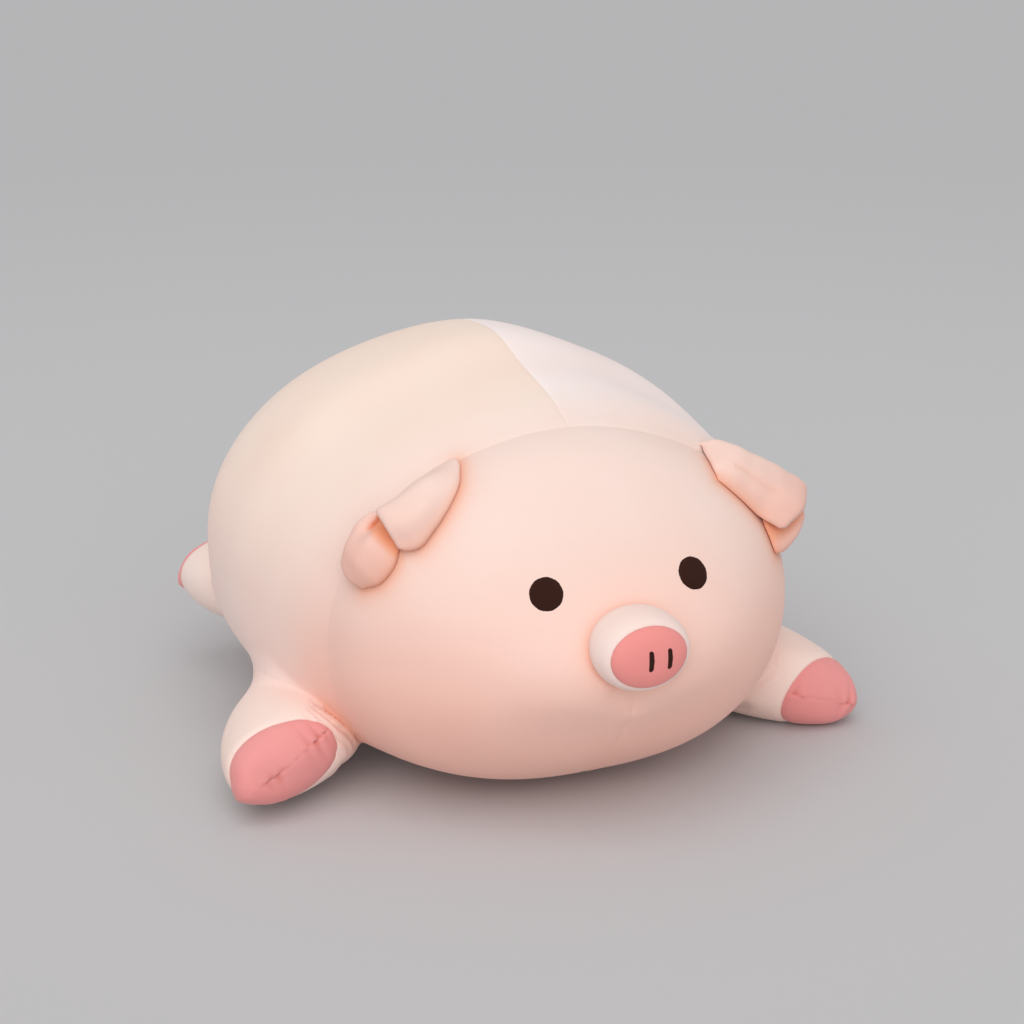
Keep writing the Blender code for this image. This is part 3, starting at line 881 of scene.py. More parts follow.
def legPlaces(units):
    along = units[:, 2]
    ring, side, rise = ringShares(units)
    front = np.clip(along, 0, 1)
    around = 2 + (legFacts["fullness"] - 2) * front
    spread = np.where(along > 0, ring ** legFacts["endShare"], ring)
    half = (legFacts["rootRadius"]
            + np.sin(math.pi * front) * (legFacts["halfWidth"] - legFacts["rootRadius"])) * spread
    height = (legFacts["rootHalfHeight"]
              + (legFacts["toeHalfHeight"] - legFacts["rootHalfHeight"]) * front) * spread
    across = half * rounded(side, around)
    up = height * rounded(rise, around)
    roll = -math.radians(legFacts["toeRoll"]) * front ** 2
    reach = np.where(
        along > 0,
        front * legFacts["reach"] + legFacts["toeSkew"] * across * front ** 2,
        along * legFacts["rootRadius"])
    reach -= legFacts["undercut"] * np.maximum(-up, 0) * front ** 2
    return np.stack([
        across * np.cos(roll) - up * np.sin(roll),
        reach,
        across * np.sin(roll) + up * np.cos(roll)], -1)


def legMatrix(side, ahead):
    if ahead > 0:
        root = Vector(legFacts["frontRoot"])
        turn = math.pi + math.radians(legFacts["turnOut"])
        mirror = Matrix.Diagonal((-1, 1, 1, 1))
    else:
        root = Vector(legFacts["hindRoot"])
        turn = -math.radians(legFacts["turnOut"])
        mirror = Matrix.Identity(4)
    matrix = Matrix.Translation(root) @ Matrix.Rotation(turn, 4, "Z") @ mirror
    if side < 0:
        matrix = Matrix.Diagonal((-1, 1, 1, 1)) @ matrix
    return matrix


def joinRadius(local, ahead):
    # how softly the leg flows into the body at each place, in the leg's own frame
    if ahead < 0:
        least, reach, near, far = legFacts["hindJoin"]
        return least + reach * fade(local[:, 1], far, near)
    small, large = legFacts["frontJoin"]
    far, near, low, high, slope = legFacts["joinTop"]
    top = fade(local[:, 1], far, near) * fade(local[:, 2] + slope * local[:, 0], low, high)
    return small + (large - small) * top


def creaseShare(local, ahead):
    # 1 where a front leg meets the body in a crease, 0 where a leg flows out of it
    outer, inner, near, far = legFacts["creaseSide"]
    high, low, strength = legFacts["creaseBelow"]
    beside = fade(local[:, 0], outer, inner) * fade(local[:, 1], near, far)
    return (ahead > 0) * np.maximum(beside, strength * fade(local[:, 2], high, low))


def makeLeg(name, side, ahead):
    matrix = legMatrix(side, ahead)
    turn = np.array(matrix.to_3x3())
    root = np.array(matrix.translation)
    forward = turn @ np.array((0, 1, 0))
    outside = turn @ np.array((1, 0, 0))
    skew, rise, toeDepth, ridgeTurn, ridgeDrop, drop, shorter = legFacts[name]
    roll = -math.radians(ridgeTurn)
    seamNormal = forward - outside * skew + np.array((0, 0, rise))
    seamNormal /= np.linalg.norm(seamNormal)
    seamPoint = root + forward * (legFacts["reach"] - shorter - toeDepth)
    ridgeNormal = turn @ np.array((-math.sin(roll), 0, math.cos(roll)))
    ridgePoint = seamPoint - np.array((0, 0, drop + ridgeDrop))

    points, quads = ballGrid(legFacts["gridCount"])
    points = legPlaces(points)
    points[:, 2] -= drop * np.maximum(points[:, 1], 0) / legFacts["reach"]
    points[:, 1] -= shorter * np.maximum(points[:, 1], 0) / legFacts["reach"]
    points = points @ turn.T + root
    mesh = meshFrom(points, quads)
    soften(mesh, legFacts["softening"])
    mesh = plump(mesh, *legFacts["plump"])
    rememberNormals(mesh)
    plainLeg = BVHTree.FromBMesh(mesh)
    cutAlong(mesh, seamPoint, seamNormal, legFacts["cuts"])
    cutAlong(mesh, ridgePoint, ridgeNormal, legFacts["cuts"])

    def panelOf(centre):
        if (centre - seamPoint) @ seamNormal < 0:
            return 0
        return 1 if (centre - ridgePoint) @ ridgeNormal > 0 else 2

    markPanels(mesh, panelOf)
    creases = mesh.verts.layers.float.new("creases")
    joined = mesh.verts.layers.float.new("tone")
    points = places(mesh)
    outward = keptNormals(mesh)
    seam = (points - seamPoint) @ seamNormal
    ridge = (points - ridgePoint) @ ridgeNormal
    onToe = fade(seam, *legFacts["toeStart"])
    sink = groove(seam, legFacts["toeSeam"]) + groove(ridge, legFacts["ridgeSeam"]) * onToe
    across = np.cross(seamNormal, ridgeNormal)
    crossing = (points - ridgePoint) @ (across / np.linalg.norm(across) * np.sign(across @ outside))
    height, fall, tip, tipFall, flatter = legFacts["crest"]
    atTip = fade(crossing, *legFacts["tipZone"]) * onToe
    sink -= onToe * height * np.exp(-np.abs(ridge) / fall) + atTip * tip * np.exp(-np.abs(ridge) / tipFall)
    sink += atTip * flatter * fade(np.abs(ridge), *legFacts["flatZone"])
    depth, fall, wave, step, sharpness, gathers, spread, elsewhere = legFacts["puckers"]
    gathered = elsewhere + sum(np.exp(-((crossing - gather) / spread) ** 2) for gather in gathers)
    pleated = gathered * onToe * np.exp(-np.abs(ridge) / fall) * np.sin(
        crossing / wave * math.pi + np.sign(ridge) * step) ** sharpness
    sink += depth * pleated
    lift, facing = overSurface(bodyTree, points)
    local = (points - root) @ turn
    swelling, ownSide = joinLift(lift, (outward * facing).sum(-1), joinRadius(local, ahead))
    sink -= swelling
    if ahead > 0:
        depth, wave, fall = legFacts["folds"]
        onward, inward, upward = legFacts["foldZone"]
        inner = fade(local[:, 1], *onward) * fade(local[:, 0], *inward) * (1 - onToe) * fade(local[:, 2], *upward)
        scale, seed, strength = legFacts["foldWaver"]
        waver = ripple(points, scale, seed) * strength
        lift = np.maximum(lift, 0)
        folded = np.exp(-lift / fall) * (1 - np.abs(np.sin(lift / wave * math.pi + waver))) * inner
        sink += depth * folded
        pleated = np.maximum(pleated, folded)
    for vert, crease, own in zip(mesh.verts, pleated, ownSide):
        vert[creases] = crease
        vert[joined] = 1 - float(fade(own, 0, legFacts["toneReach"]))
    points -= outward * sink[:, None]
    points[:, 2] = np.maximum(points[:, 2], legFacts["clearance"])
    move(mesh, points)

    for number, (word, material, nodeNames, slotName) in enumerate((
            ("leg", legPeach, ("leg_cover", "leg_filling"), "peach_knit"),
            ("toeUpper", pink, ("toe_upper",), "pink_knit"),
            ("toeLower", pink, ("toe_lower",), "pink_knit"))):
        piece, points = makePanel(mesh, number, name + "_" + word, material, word != "leg")
        local = (points - root) @ turn
        valleys = np.zeros(len(points))
        piece.data.attributes["creases"].data.foreach_get("value", valleys)
        # painted glow of bounced light in the folds and puckers and in the crease where the leg meets the body
        deep, joint, spread = legFacts["paintedGlow"]
        paintedGlow = deep * np.clip(valleys, 0, 1) ** 2
        if word == "leg":
            lift = heightOver(bodyTree, points)
            paintedGlow = np.maximum(paintedGlow, glow(lift, joint, spread) * creaseShare(local, ahead))
        share(piece, "paintedGlow", paintedGlow)
        shareKnit(piece, np.arctan2(local[:, 0], local[:, 2]) * legFacts["knitRadius"], local[:, 1])
        if word == "leg":
            start, end = legFacts["bend"]
            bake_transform(piece)
            nearest = nearestOf(points)
        else:
            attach(piece, name + "_leg")
        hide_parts(*(name + "_" + node for node in nodeNames))
    mesh.free()
    return {"tree": plainLeg, "root": root, "turn": turn, "ahead": ahead, "nearest": nearest}


madeLegs = [
    makeLeg(name, side, ahead) for name, side, ahead in (
        ("front_left", 1, 1), ("front_right", -1, 1), ("hind_left", 1, -1), ("hind_right", -1, -1))]
print("stage: legs")


# Snout: a stub with a sewn-in oval front

snoutFacts = {
    "width": 66 * mm,
    "height": 52 * mm,
    "front": 245.5 * mm,
    "depth": 56 * mm,
    "middle": 132.5 * mm,
    "faceDepth": 7.8 * mm,
    "fullness": 2.7,
    "endShare": 0.75,
    "gridCount": 34,
    "softening": 3,
    "seam": (1.0 * mm, 4 * mm),
    "cuts": (-3 * mm, -1 * mm, 0, 1 * mm, 3 * mm),
    "cutReach": 10 * mm,
    "rootSeam": (1.5 * mm, 8 * mm),
    "rootPaintedGlow": (0.4, 3 * mm),
    "knitRadius": 0.03,
}


def makeSnout():
    units, quads = ballGrid(snoutFacts["gridCount"])
    ring, side, rise = ringShares(units)
    along = rounded(units[:, 2], snoutFacts["fullness"])
    spread = ring ** snoutFacts["endShare"] / 2
    points = np.stack([
        snoutFacts["width"] * spread * side,
        snoutFacts["depth"] / 2 - snoutFacts["front"] - along * snoutFacts["depth"] / 2,
        snoutFacts["middle"] + snoutFacts["height"] * spread * rise], -1)
    mesh = meshFrom(points, quads)
    soften(mesh, snoutFacts["softening"])
    rememberNormals(mesh)
    seamPlace = (0, snoutFacts["faceDepth"] - snoutFacts["front"], 0)
    cutAlong(mesh, seamPlace, (0, 1, 0), snoutFacts["cuts"], snoutFacts["cutReach"])
    markPanels(mesh, lambda centre: int(centre[1] < seamPlace[1]))
    points = places(mesh)
    outward = keptNormals(mesh)
    sink = groove(points[:, 1] - seamPlace[1], snoutFacts["seam"])
    sink += groove(heightOver(bodyTree, points), snoutFacts["rootSeam"])
    points -= outward * sink[:, None]
    move(mesh, points)
    for number, (name, material, nodeNames, slotName) in enumerate((
            ("snoutCover", snoutPeach, ("snout_cover", "snout_filling"), "peach_knit"),
            ("snoutFace", snoutPink, ("snout_face",), "pink_knit"))):
        piece, points = makePanel(mesh, number, name, material, False)
        if name == "snoutCover":
            # painted glow of bounced light in the crease round the snout's root
            share(piece, "paintedGlow", glow(heightOver(bodyTree, points), *snoutFacts["rootPaintedGlow"]))
            around = np.arctan2(points[:, 0], points[:, 2] - snoutFacts["middle"])
            shareKnit(piece, around * snoutFacts["knitRadius"], points[:, 1])
        else:
            shareKnit(piece, points[:, 0], points[:, 2])
        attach(piece, "torso")
        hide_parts(*nodeNames)
    tree = BVHTree.FromBMesh(mesh)
    points = places(mesh)
    mesh.free()
    return tree, points


snoutTree, snoutPoints = makeSnout()
print("stage: snout")


# Embroidery: eyes and nostrils, raised satin stitch

stitchFacts = {
    "eyeDiameter": 23 * mm,
    "eyeRise": 1.5 * mm,
    "eyeSpacing": 102 * mm,
    "eyeHeight": 166.5 * mm,
    "nostrilSpacing": 13 * mm,
    "nostrilShift": 4 * mm,
    "nostrilLength": 15 * mm,
    "nostrilWidth": 3.5 * mm,
    "nostrilRise": 1.0 * mm,
    "nostrilBow": 0.8 * mm,
    "rings": (8, 6),
    "stitchTurns": (20, 90),      # which way the stitches of an eye and of a nostril run, in degrees
    "outlineCounts": (72, 60),
    "waver": ((0.008, 9, 1), (0.006, 23, 0)),     # of an eye's outline: each wave's share, count and start
    "castStart": -0.3,
    "castFrom": 20 * mm,
    "domeFullness": 4,
    "sunk": 0.25 * mm,
    "back": 0.3 * mm,
}


def onSurface(tree, start, direction):
    place, normal, _, _ = tree.ray_cast(Vector(start), Vector(direction))
    return np.array(place), np.array(normal)


def makePatch(nodeName, tree, centre, normal, outline, rise, rings, stitchTurn):
    # a domed patch that follows the cloth under it: rings of the outline shrink to the middle
    normal = np.array(normal, float)
    across = np.cross((0.0, 0.0, 1.0), normal)
    across /= np.linalg.norm(across)
    upward = np.cross(normal, across)
    flat = []
    for k in range(rings):
        size = 1 - k / rings
        flat += [(x, y, rise * (1 - size ** stitchFacts["domeFullness"])) for x, y in outline * size]
    flat.append((0, 0, rise))
    points = []
    for x, y, height in flat:
        start = centre + across * x + upward * y + normal * stitchFacts["castFrom"]
        place, _, _, _ = tree.ray_cast(Vector(start), Vector(-normal))
        points.append(np.array(place) + normal * (height - stitchFacts["sunk"]))
    count = len(outline)
    faces = ringFaces(rings - 1, count)
    last = (rings - 1) * count
    faces += [(last + i, last + (i + 1) % count, len(flat) - 1) for i in range(count)]
    # the underside closes it, a little inside the cloth
    first = len(points)
    points += [point - normal * stitchFacts["back"] for point in points[:count]]
    faces += [((i + 1) % count, i, first + i, first + (i + 1) % count) for i in range(count)]
    faces.append([first + i for i in range(count)])
    piece = makePiece(nodeName + "_stitching", meshFrom(points, faces), thread)
    away = piecePlaces(piece) - centre
    x = away @ across
    y = away @ upward
    turn = math.radians(stitchTurn)
    shareKnit(piece, x * math.cos(turn) + y * math.sin(turn), y)
    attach(piece, "torso")
    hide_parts(nodeName)


def discOutline(diameter, count):
    turns = np.linspace(0, 2 * math.pi, count, endpoint=False)
    waver = sum(size * np.sin(turns * waves + start) for size, waves, start in stitchFacts["waver"])
    radius = diameter / 2 * (1 + waver)
    return np.stack([np.cos(turns) * radius, np.sin(turns) * radius], -1)


def barOutline(width, length, bow, count):
    turns = np.linspace(0, 2 * math.pi, count, endpoint=False)
    x = np.cos(turns) * width / 2
    y = np.sin(turns) * width / 2 + np.sign(np.sin(turns)) * (length - width) / 2
    x = x + bow * (1 - (2 * y / length) ** 2)
    return np.stack([x, y], -1)


eyeCount, nostrilCount = stitchFacts["outlineCounts"]
eyeRings, nostrilRings = stitchFacts["rings"]
eyeTurn, nostrilTurn = stitchFacts["stitchTurns"]
eyeOutline = discOutline(stitchFacts["eyeDiameter"], eyeCount)
nostrilOutline = barOutline(
    stitchFacts["nostrilWidth"], stitchFacts["nostrilLength"], stitchFacts["nostrilBow"], nostrilCount)
for word, side in (("left", 1), ("right", -1)):
    start = (side * stitchFacts["eyeSpacing"] / 2, stitchFacts["castStart"], stitchFacts["eyeHeight"])
    place, normal = onSurface(bodyTree, start, (0, 1, 0))
    makePatch("eye_" + word, bodyTree, place, normal, eyeOutline, stitchFacts["eyeRise"], eyeRings, eyeTurn)
    offside = side * stitchFacts["nostrilSpacing"] / 2 + stitchFacts["nostrilShift"]
    place, _ = onSurface(snoutTree, (offside, stitchFacts["castStart"], snoutFacts["middle"]), (0, 1, 0))
    makePatch(
        "nostril_" + word, snoutTree, place, (0, -1, 0), nostrilOutline,
        stitchFacts["nostrilRise"], nostrilRings, nostrilTurn)
print("stage: embroidery")


# Ears: each a flap of two layers, sewn into the neck seam, folded forward and pleated into two lobes

earFacts = {
    "inner": (83.55 * mm, -107.88 * mm, 228.28 * mm),
    "along": (0.74078, 0.07022, -0.66807),
    "outward": (0.64922, -0.33027, 0.68516),
    "forward": (-0.17253, -0.94127, -0.29024),
    "middle": 44 * mm,
    "castFrom": 0.06,
    "thickness": 1.6 * mm,
    "layerGap": 0.04 * mm,
    "rim": (2.2 * mm, 0.004),
    "step": (1.0 * mm, 1.4 * mm),         # about how far apart the columns and the rows are
    "knitStep": (1.0 * mm, 1.3 * mm),
    "crumple": (0.5 * mm, 22 * mm, 21, 6 * mm),    # how deep, how wide, the seed, and how far from the edges
    # the painted glow of bounced light at the free edge and on the lining: how strong, how high over the head, over
    # which rows
    "edgePaintedGlow": (0.9, 4 * mm, 0.84, 0.96),
    "liningPaintedGlow": (0.8, 9 * mm, 0.5, 0.8),
    # the painted glow of bounced light deep in the pleat: how strong, and from where to where along the root and the
    # rows
    "hollow_left": (0.9, 0.56, 0.60, 0.72, 0.88, 0.10, 0.30),
    "hollow_right": (0.97, 0.575, 0.60, 0.67, 0.73, 0.28, 0.45),
    # a sharp crease in each: at which row, how wide, from where to where along the root, how deep, and how strong its
    # painted glow is
    "crease_left": (0.80, 0.072, 0.12, 0.50, 1.1 * mm, 0.2),
    "crease_right": (0.45, 0.088, 0.58, 0.745, 3.0 * mm, 0.95),
    "creaseEnds": (0.03, 0.05),
    "bend": (-1 * mm, 9 * mm),            # from where to where over its root the cloth would bend; nothing here bends it
    "nearRow": 0.6,                       # from which row on it paints glow on the head under it
    "columns": 96,
    "rows": 44,
    "smoothing": 6,
    "flat": (110 * mm, 79 * mm, 0.75),
    "rowPlaces": (0.0, 0.22, 0.5, 0.78, 1.0),
    # each line: how far along the ear's root, then five points from the root over the top to the free edge,
    # in mm along the root, forward of it and above the head
    "left": (
        (0.00, (18, -11, -2), (19, -5, 1.0), (17.7, 8, 1.0), (17.7, 20, 1.0), (20.5, 33, 0.8)),
        (0.08, (22, -9, -2), (23, -5, 9), (24, 6, 11), (24, 20, 8), (26, 34.5, 1.0)),
        (0.20, (31, -6, -2), (32, -3, 11), (33, 6, 16), (34, 21, 11), (35, 37, 1.2)),
        (0.34, (43, -3, -2), (45, -1, 13), (47, 7, 19.5), (47, 24, 13), (46, 39, 1.3)),
        (0.45, (53, -1, -2), (58, 0, 15), (63, 7, 24), (61, 26, 16), (57, 41, 2)),
        (0.52, (60, 0, -2), (69, 0, 18), (80, 6.5, 30), (75, 26, 23), (68, 44, 7)),
        (0.57, (65, 0, -2), (77, 0, 20), (93, 5, 35), (89, 26, 28), (78, 46, 12)),
        (0.61, (68, 0, -2), (78, 1.5, 17), (90, 9, 28), (79, 26, 13), (64, 36, 3)),
        (0.66, (71, 0, -2), (81, 1, 15), (92, 12, 24), (80, 29, 9), (65, 39, 1.2)),
        (0.76, (77, 0, -2), (87, 0, 14), (96, 13, 25), (88, 32, 13), (75, 46, 1.2)),
        (0.88, (83, 0, -2), (92, 0, 13), (99, 13, 25), (95, 32, 17), (84, 50, 1.2)),
        (1.00, (89, 0, -2), (96, 1, 9), (102, 12, 17), (101, 25, 17), (93, 42, 5))),
    "right": (
        (0.00, (-8, -2, -2), (-8, 0, 0.5), (-8, 2, 1.2), (-7.5, 3.5, 1.0), (-7, 5, 0.5)),
        (0.10, (2, -4, -2), (1, 3, 2.5), (1, 11, 5), (2, 17, 4.5), (3, 23, 1.0)),
        (0.22, (14, -4, -2), (13, 4, 5), (15, 15, 11), (18, 25, 9.5), (20, 34, 1.3)),
        (0.34, (27, -4, -2), (26, 4, 6), (28, 16, 14), (31, 29, 13), (33, 38.5, 1.6)),
        (0.45, (39, -4, -2), (38, 4, 6.5), (40, 16, 16), (44, 29, 14.5), (46, 41, 2)),
        (0.52, (45, -4, -2), (45, 4, 8), (47, 14, 17), (51, 25, 15), (54, 37.5, 4)),
        (0.56, (48, -3, -2), (48.5, 3, 8), (50, 11.5, 17), (53, 24, 14), (57.5, 34, 6)),
        (0.60, (50, -3, -2), (50.5, 2.5, 7), (50, 9, 12), (48, 17, 4), (49, 27, 1.2)),
        (0.65, (53, -2, -2), (54.5, 1.5, 11), (55.5, 8, 6.5), (56, 15, 6.0), (57, 30, 1.2)),
        (0.69, (57, -2, -2), (58.5, 1, 12.5), (60.5, 9, 7.5), (62, 17, 11.5), (62.5, 34, 1.2)),
        (0.76, (63, -2, -2), (65, 0, 12.5), (68, 8, 11), (71, 20, 14.5), (70.5, 36, 1.3)),
        (0.87, (72, -2, -2), (75.5, 0, 9), (80, 6, 14), (82, 20, 14), (80, 35, 1.5)),
        (1.00, (82, -2, -2), (87, 1, 5), (92, 9, 10), (94.5, 16, 7.5), (91.5, 25, 1.2))),
}


def netPlaces(net, columns, rows):
    # a smooth sheet through a net of points, as an array of columns by rows
    knots = [line[0] for line in net]
    points = np.array([line[1:] for line in net], float)
    across = np.linspace(0, 1, columns + 1)
    down = np.linspace(0, 1, rows + 1)
    lines = np.empty((columns + 1, points.shape[1], 3))
    for j in range(points.shape[1]):
        for k in range(3):
            lines[:, j, k] = smoothCurve(knots, points[:, j, k], across)
    grid = np.empty((columns + 1, rows + 1, 3))
    for i in range(columns + 1):
        for k in range(3):
            grid[i, :, k] = smoothCurve(earFacts["rowPlaces"], lines[i, :, k], down)
    for _ in range(earFacts["smoothing"]):
        old = grid.copy()
        grid[1:-1, 1:-1] = old[1:-1, 1:-1] / 2 + (old[2:, 1:-1] + old[:-2, 1:-1] + old[1:-1, 2:] + old[1:-1, :-2]) / 8
        for edge in (0, -1):
            grid[edge, 1:-1] = old[edge, 1:-1] / 2 + (old[edge, 2:] + old[edge, :-2]) / 4
            grid[1:-1, edge] = old[1:-1, edge] / 2 + (old[2:, edge] + old[:-2, edge]) / 4
    return grid


def makeEar(word, side):
    inner, along, outward, forward = (np.array(earFacts[key]) for key in ("inner", "along", "outward", "forward"))
    mirror = np.array((side, 1, 1))
    columns = earFacts["columns"]
    rows = earFacts["rows"]
    net = netPlaces(earFacts[word], columns, rows).reshape(-1, 3) * mm
    points = []
    for a, f, h in net:
        start = (inner + along * a + forward * f + outward * earFacts["castFrom"]) * mirror
        place, _, _, _ = bodyTree.ray_cast(Vector(start), Vector(-outward * mirror))
        points.append(np.array(place) + outward * mirror * h)
    points = np.array(points)
    across = np.repeat(np.arange(columns + 1), rows + 1)
    down = np.tile(np.arange(rows + 1), columns + 1)
    quads = []
    for i in range(columns):
        for j in range(rows):
            corner = i * (rows + 1) + j
            quads.append((corner, corner + rows + 1, corner + rows + 2, corner + 1))
    sheet = meshFrom(points, quads)
    if sum(face.normal.dot(Vector(outward * mirror)) for face in sheet.faces) < 0:
        bmesh.ops.reverse_faces(sheet, faces=sheet.faces[:])
    outwards = normals(sheet)
    sheet.free()
    height, scale, seed, edge = earFacts["crumple"]
    columnStep, rowStep = earFacts["step"]
    border = np.minimum(np.minimum(across, columns - across) * columnStep, (rows - down) * rowStep)
    inside = np.minimum(border, down * rowStep)
    points = points + outwards * (height * ripple(points, scale, seed) * fade(inside, 0, edge))[:, None]
    row, width, near, far, depth, creasePaintedGlow = earFacts["crease_" + word]
    place = across / columns
    nearEnd, farEnd = earFacts["creaseEnds"]
    crease = dip(down / rows - row, width) * fade(place, near, near + nearEnd) * fade(place, far, far - farEnd)
    points = points - outwards * (depth * crease)[:, None]
    rim, least = earFacts["rim"]
    rounding = np.sqrt(np.maximum(1 - (1 - np.clip(border / rim, 0, 1)) ** 2, least))
    count = len(points)
    loop = [i * (rows + 1) for i in range(columns + 1)]
    loop += [columns * (rows + 1) + j for j in range(1, rows + 1)]
    loop += [i * (rows + 1) + rows for i in range(columns - 1, -1, -1)]
    loop += list(range(rows - 1, 0, -1))
    # painted glow of bounced light deep in the pleat and along the crease
    depth, start, full, fall, end, rowStart, rowFull = earFacts["hollow_" + word]
    hollow = depth * fade(place, start, full) * fade(place, end, fall) * fade(down / rows, rowStart, rowFull)
    hollow = np.maximum(hollow, crease * creasePaintedGlow)
    for name, offset, paintedGlows in (("outer", 1, ("edgePaintedGlow",)), ("lining", -1, ("edgePaintedGlow", "liningPaintedGlow"))):
        low = points + outwards * offset * earFacts["layerGap"]
        high = points + outwards * (offset * earFacts["thickness"] * rounding)[:, None]
        faces = [tuple(reversed(quad)) for quad in quads]
        faces += [tuple(corner + count for corner in quad) for quad in quads]
        faces += [(i, j, j + count, i + count) for i, j in zip(loop, [*loop[1:], loop[0]])]
        mesh = meshFrom(np.concatenate([low, high]), faces)
        piece = makePiece("ear_" + word + "_" + name + "_cloth", mesh, earPeach)
        # painted glow where the ear's edge and lining lie close over the head
        lift = heightOver(bodyTree, piecePlaces(piece))
        paintedGlow = np.tile(hollow, 2)
        for key in paintedGlows:
            strength, spread, near, far = earFacts[key]
            paintedGlow = np.maximum(paintedGlow, glow(lift, strength, spread) * np.tile(fade(down / rows, near, far), 2))
        share(piece, "paintedGlow", paintedGlow)
        columnStep, rowStep = earFacts["knitStep"]
        shareKnit(piece, np.tile(across * columnStep, 2), np.tile(down * rowStep, 2))
        start, end = earFacts["bend"]
        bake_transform(piece)
        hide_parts("ear_" + word + "_" + name)
        width, length, fullness = earFacts["flat"]
    return nearestOf(points[down / rows > earFacts["nearRow"]])


earsNear = [makeEar("left", 1), makeEar("right", -1)]
print("stage: ears")


# Tail

tailFacts = {
    "root": (0, 215.86 * mm, 168.08 * mm),
    "diameter": 15 * mm,
    "length": 24 * mm,
    "curl": 10 * mm,
    "turnShare": 0.55,
    "taper": 0.45,
    "tipShare": 0.12,
    "rootPaintedGlow": (0.4, -2 * mm, 8 * mm),
    "weld": 1e-5,
    "columns": 28,
    "rings": 60,
}


def makeTail():
    root = np.array(tailFacts["root"])
    steps = np.linspace(0, 1, tailFacts["rings"])
    turn = steps * math.pi * tailFacts["turnShare"] * 2
    path = np.stack([
        tailFacts["curl"] * np.sin(turn),
        steps * tailFacts["length"],
        tailFacts["curl"] * (1 - np.cos(turn))], -1)
    heading = np.gradient(path, axis=0)
    heading /= lengths(heading)[:, None]
    radius = tailFacts["diameter"] / 2 * (1 - tailFacts["taper"] * steps)
    radius *= np.sqrt(np.clip((1 - steps) / tailFacts["tipShare"], 0, 1))
    points = []
    for place, head, size in zip(path, heading, radius):
        across = np.cross(head, (0, 0, 1))
        across /= np.linalg.norm(across)
        up = np.cross(across, head)
        for turn in np.linspace(0, 2 * math.pi, tailFacts["columns"], endpoint=False):
            points.append(root + place + (across * math.cos(turn) + up * math.sin(turn)) * size)
    count = tailFacts["columns"]
    faces = ringFaces(tailFacts["rings"] - 1, count)
    faces.append(list(range(count)))
    mesh = meshFrom(points, faces)
    bmesh.ops.remove_doubles(mesh, verts=mesh.verts[:], dist=tailFacts["weld"])
    piece = makePiece("curled_tail", mesh, peach)
    x, y, _ = (piecePlaces(piece) - root).T
    # painted glow of bounced light where the tail meets the body
    paintedGlow, near, far = tailFacts["rootPaintedGlow"]
    share(piece, "paintedGlow", paintedGlow * fade(y, far, near))
    shareKnit(piece, x, y)
    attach(piece, "tail")
    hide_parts("tail")


makeTail()
print("stage: tail")


# Torso panels: cut from the form along the seams, with grooves, and swelling towards the legs where they join


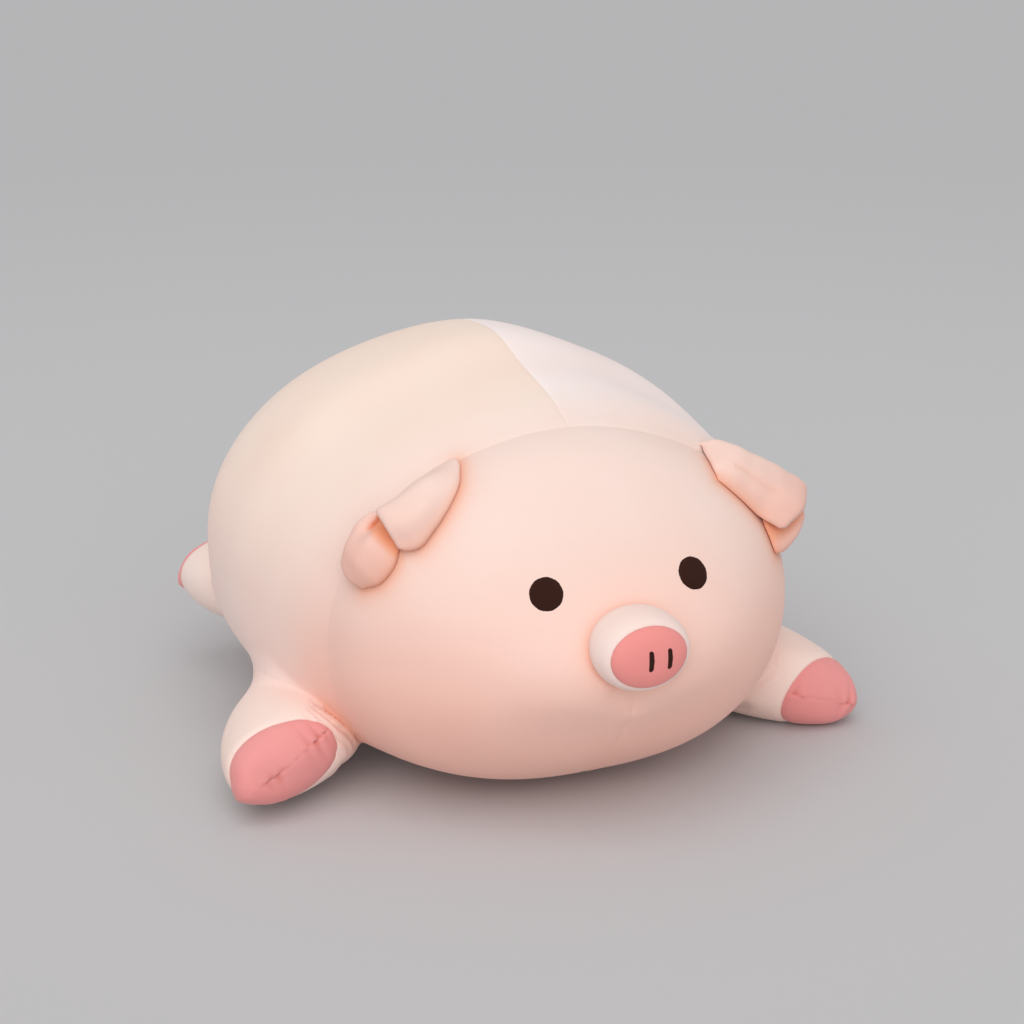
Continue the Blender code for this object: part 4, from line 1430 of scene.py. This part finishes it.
def makeTorso():
    mesh = body
    centres = np.array([face.calc_center_median()[:] for face in mesh.faces])
    close = np.full(len(centres), 1.0)
    for nearest in [*earsNear, nearestOf(snoutPoints), *[leg["nearest"] for leg in madeLegs]]:
        close = np.minimum(close, nearest(centres))
    fine = [face for face, distance in zip(mesh.faces, close) if distance < bodyFacts["fineReach"]]
    edges = list(dict.fromkeys(edge for face in fine for edge in face.edges))
    bmesh.ops.subdivide_edges(mesh, edges=edges, cuts=1, use_grid_fill=True)
    rememberNormals(mesh)
    bellyPoint = (0, 0, bodyFacts["bellyHeight"])
    for point, normal in ((neckPoint, neckNormal), (bellyPoint, (0, 0, 1)), ((0, 0, 0), (1, 0, 0))):
        cutAlong(mesh, point, normal, bodyFacts["cuts"])

    def panelOf(centre):
        if (centre - neckPoint) @ neckNormal < 0:
            return 0
        if centre[2] < bodyFacts["bellyHeight"]:
            return 3
        return 1 if centre[0] > 0 else 2

    markPanels(mesh, panelOf)
    points = places(mesh)
    outward = keptNormals(mesh)
    neck = neckDistance(points)
    ends = bodyFacts["seamEnds"]
    behind = fade(neck, 0, ends)
    above = fade(points[:, 2], bodyFacts["bellyHeight"], bodyFacts["bellyHeight"] + ends)
    below = fade(points[:, 2] - snoutFacts["middle"], *bodyFacts["chinStart"])
    least, heights = bodyFacts["neckFading"]
    sink = groove(neck, bodyFacts["neckSeam"]) * (least + (1 - least) * fade(points[:, 2], *heights))
    sink += groove(points[:, 0], bodyFacts["backSeam"]) * behind * above
    sink += groove(points[:, 2] - bodyFacts["bellyHeight"], bodyFacts["bellySeam"]) * behind
    sink += groove(points[:, 0], bodyFacts["chinSeam"]) * (1 - fade(neck, -ends, 0)) * below
    for leg in madeLegs:
        near = np.nonzero(lengths(points - leg["root"]) < bodyFacts["legReach"])[0]
        lift, facing = overSurface(leg["tree"], points[near])
        local = (points[near] - leg["root"]) @ leg["turn"]
        swelling, _ = joinLift(lift, (outward[near] * facing).sum(-1), joinRadius(local, leg["ahead"]))
        sink[near] = sink[near] * fade(swelling, *bodyFacts["joinOverSeams"]) - swelling
    toSnoutFrom = nearestOf(snoutPoints)
    sink += groove(toSnoutFrom(points), bodyFacts["snoutSeam"])
    points -= outward * sink[:, None]
    points[:, 2] = np.maximum(points[:, 2], 0)
    move(mesh, points)

    for number, (name, material, nodeNames) in enumerate((
            ("faceCover", peach, ("face_panel", "head_filling")),
            ("backCover_left", coolPeach, ("back_panel_left", "body_filling")),
            ("backCover_right", warmPeach, ("back_panel_right",)),
            ("bellyCover", warmPeach, ("belly_panel",)))):
        piece, points = makePanel(mesh, number, name, material, True)
        # painted glow of bounced light in the creases round the snout, at the front legs and under the ears
        strength, spread, least, reach, slope = bodyFacts["snoutPaintedGlow"]
        under = fade(points[:, 2] + points[:, 0] * slope - snoutFacts["middle"], reach, -reach)
        paintedGlow = glow(toSnoutFrom(points), strength, spread) * (least + (1 - least) * under)
        strength, spread, reach = bodyFacts["legPaintedGlow"]
        for leg in madeLegs:
            near = np.nonzero(lengths(points - leg["root"]) < reach)[0]
            sharp = creaseShare((points[near] - leg["root"]) @ leg["turn"], leg["ahead"])
            paintedGlow[near] = np.maximum(paintedGlow[near], glow(leg["nearest"](points[near]), strength, spread) * sharp)
        strength, spread, most, lowest = bodyFacts["earPaintedGlow"]
        near = np.nonzero(points[:, 2] > lowest)[0]
        for nearest in earsNear:
            paintedGlow[near] = np.maximum(paintedGlow[near], np.minimum(glow(nearest(points[near]), strength, spread), most))
        share(piece, "paintedGlow", paintedGlow)
        share(piece, "tone", fade(neckDistance(points), 0, bodyFacts["toneReach"]))
        centre, radius = bodyFacts["knit"]
        shareKnit(piece, np.arctan2(points[:, 0], points[:, 2] - centre) * radius, points[:, 1])
        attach(piece, "torso")
        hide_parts(*nodeNames)
    mesh.free()


makeTorso()
print("stage: torso")


# Floor and light

stageFacts = {
    "floor": (0.565, 0.56, 0.57),
    # darker away from the pig: painted falloff of the light across the floor
    "far": (0.50, 0.495, 0.505),
    "paintedFalloffRange": (0.4, 2.2),
    "halfSize": 12,
    "drop": 0.0002,           # how far it lies under the belly
    "roughness": 0.9,
    "specular": 0.1,
    "world": 0.55,
    # each lamp: where from, how strong, and how many degrees wide
    "key": ((-0.35, -0.45, 1.0), 0.98, 60.0),
    "fill": ((-0.35, -1.0, 0.2), 1.26, 70.0),
}


def makeFloor():
    mesh = bmesh.new()
    bmesh.ops.create_grid(mesh, x_segments=1, y_segments=1, size=stageFacts["halfSize"])
    data = bpy.data.meshes.new("floor")
    mesh.to_mesh(data)
    mesh.free()
    nodes = Nodes("paleFloor")
    nodes.set("Roughness", stageFacts["roughness"])
    nodes.set("Specular IOR Level", stageFacts["specular"])
    spot = nodes.add("ShaderNodeTexCoord").outputs["Object"]
    distance = nodes.add("ShaderNodeVectorMath", {0: spot}, operation="LENGTH").outputs["Value"]
    tone = nodes.mix(nodes.ramp(distance, *stageFacts["paintedFalloffRange"]), stageFacts["floor"], stageFacts["far"])
    data.materials.append(nodes.finish(tone))
    floor = bpy.data.objects.new("floor", data)
    floor.location = (0, 0, -stageFacts["drop"])
    bpy.context.scene.collection.objects.link(floor)


def makeSun(name, facts):
    direction, power, spread = facts
    data = bpy.data.lights.new(name, "SUN")
    data.energy = power
    data.angle = math.radians(spread)
    lamp = bpy.data.objects.new(name, data)
    lamp.matrix_world = Vector(direction).to_track_quat("Z", "Y").to_matrix().to_4x4()
    bpy.context.scene.collection.objects.link(lamp)


makeFloor()
makeSun("keyLamp", stageFacts["key"])
makeSun("fillLamp", stageFacts["fill"])
world = bpy.data.worlds.new("world")
world.use_nodes = True
background = world.node_tree.nodes["Background"]
background.inputs["Color"].default_value = (1, 1, 1, 1)
background.inputs["Strength"].default_value = stageFacts["world"]
bpy.context.scene.world = world
bpy.context.scene.view_settings.view_transform = "Standard"
print("stage: light")
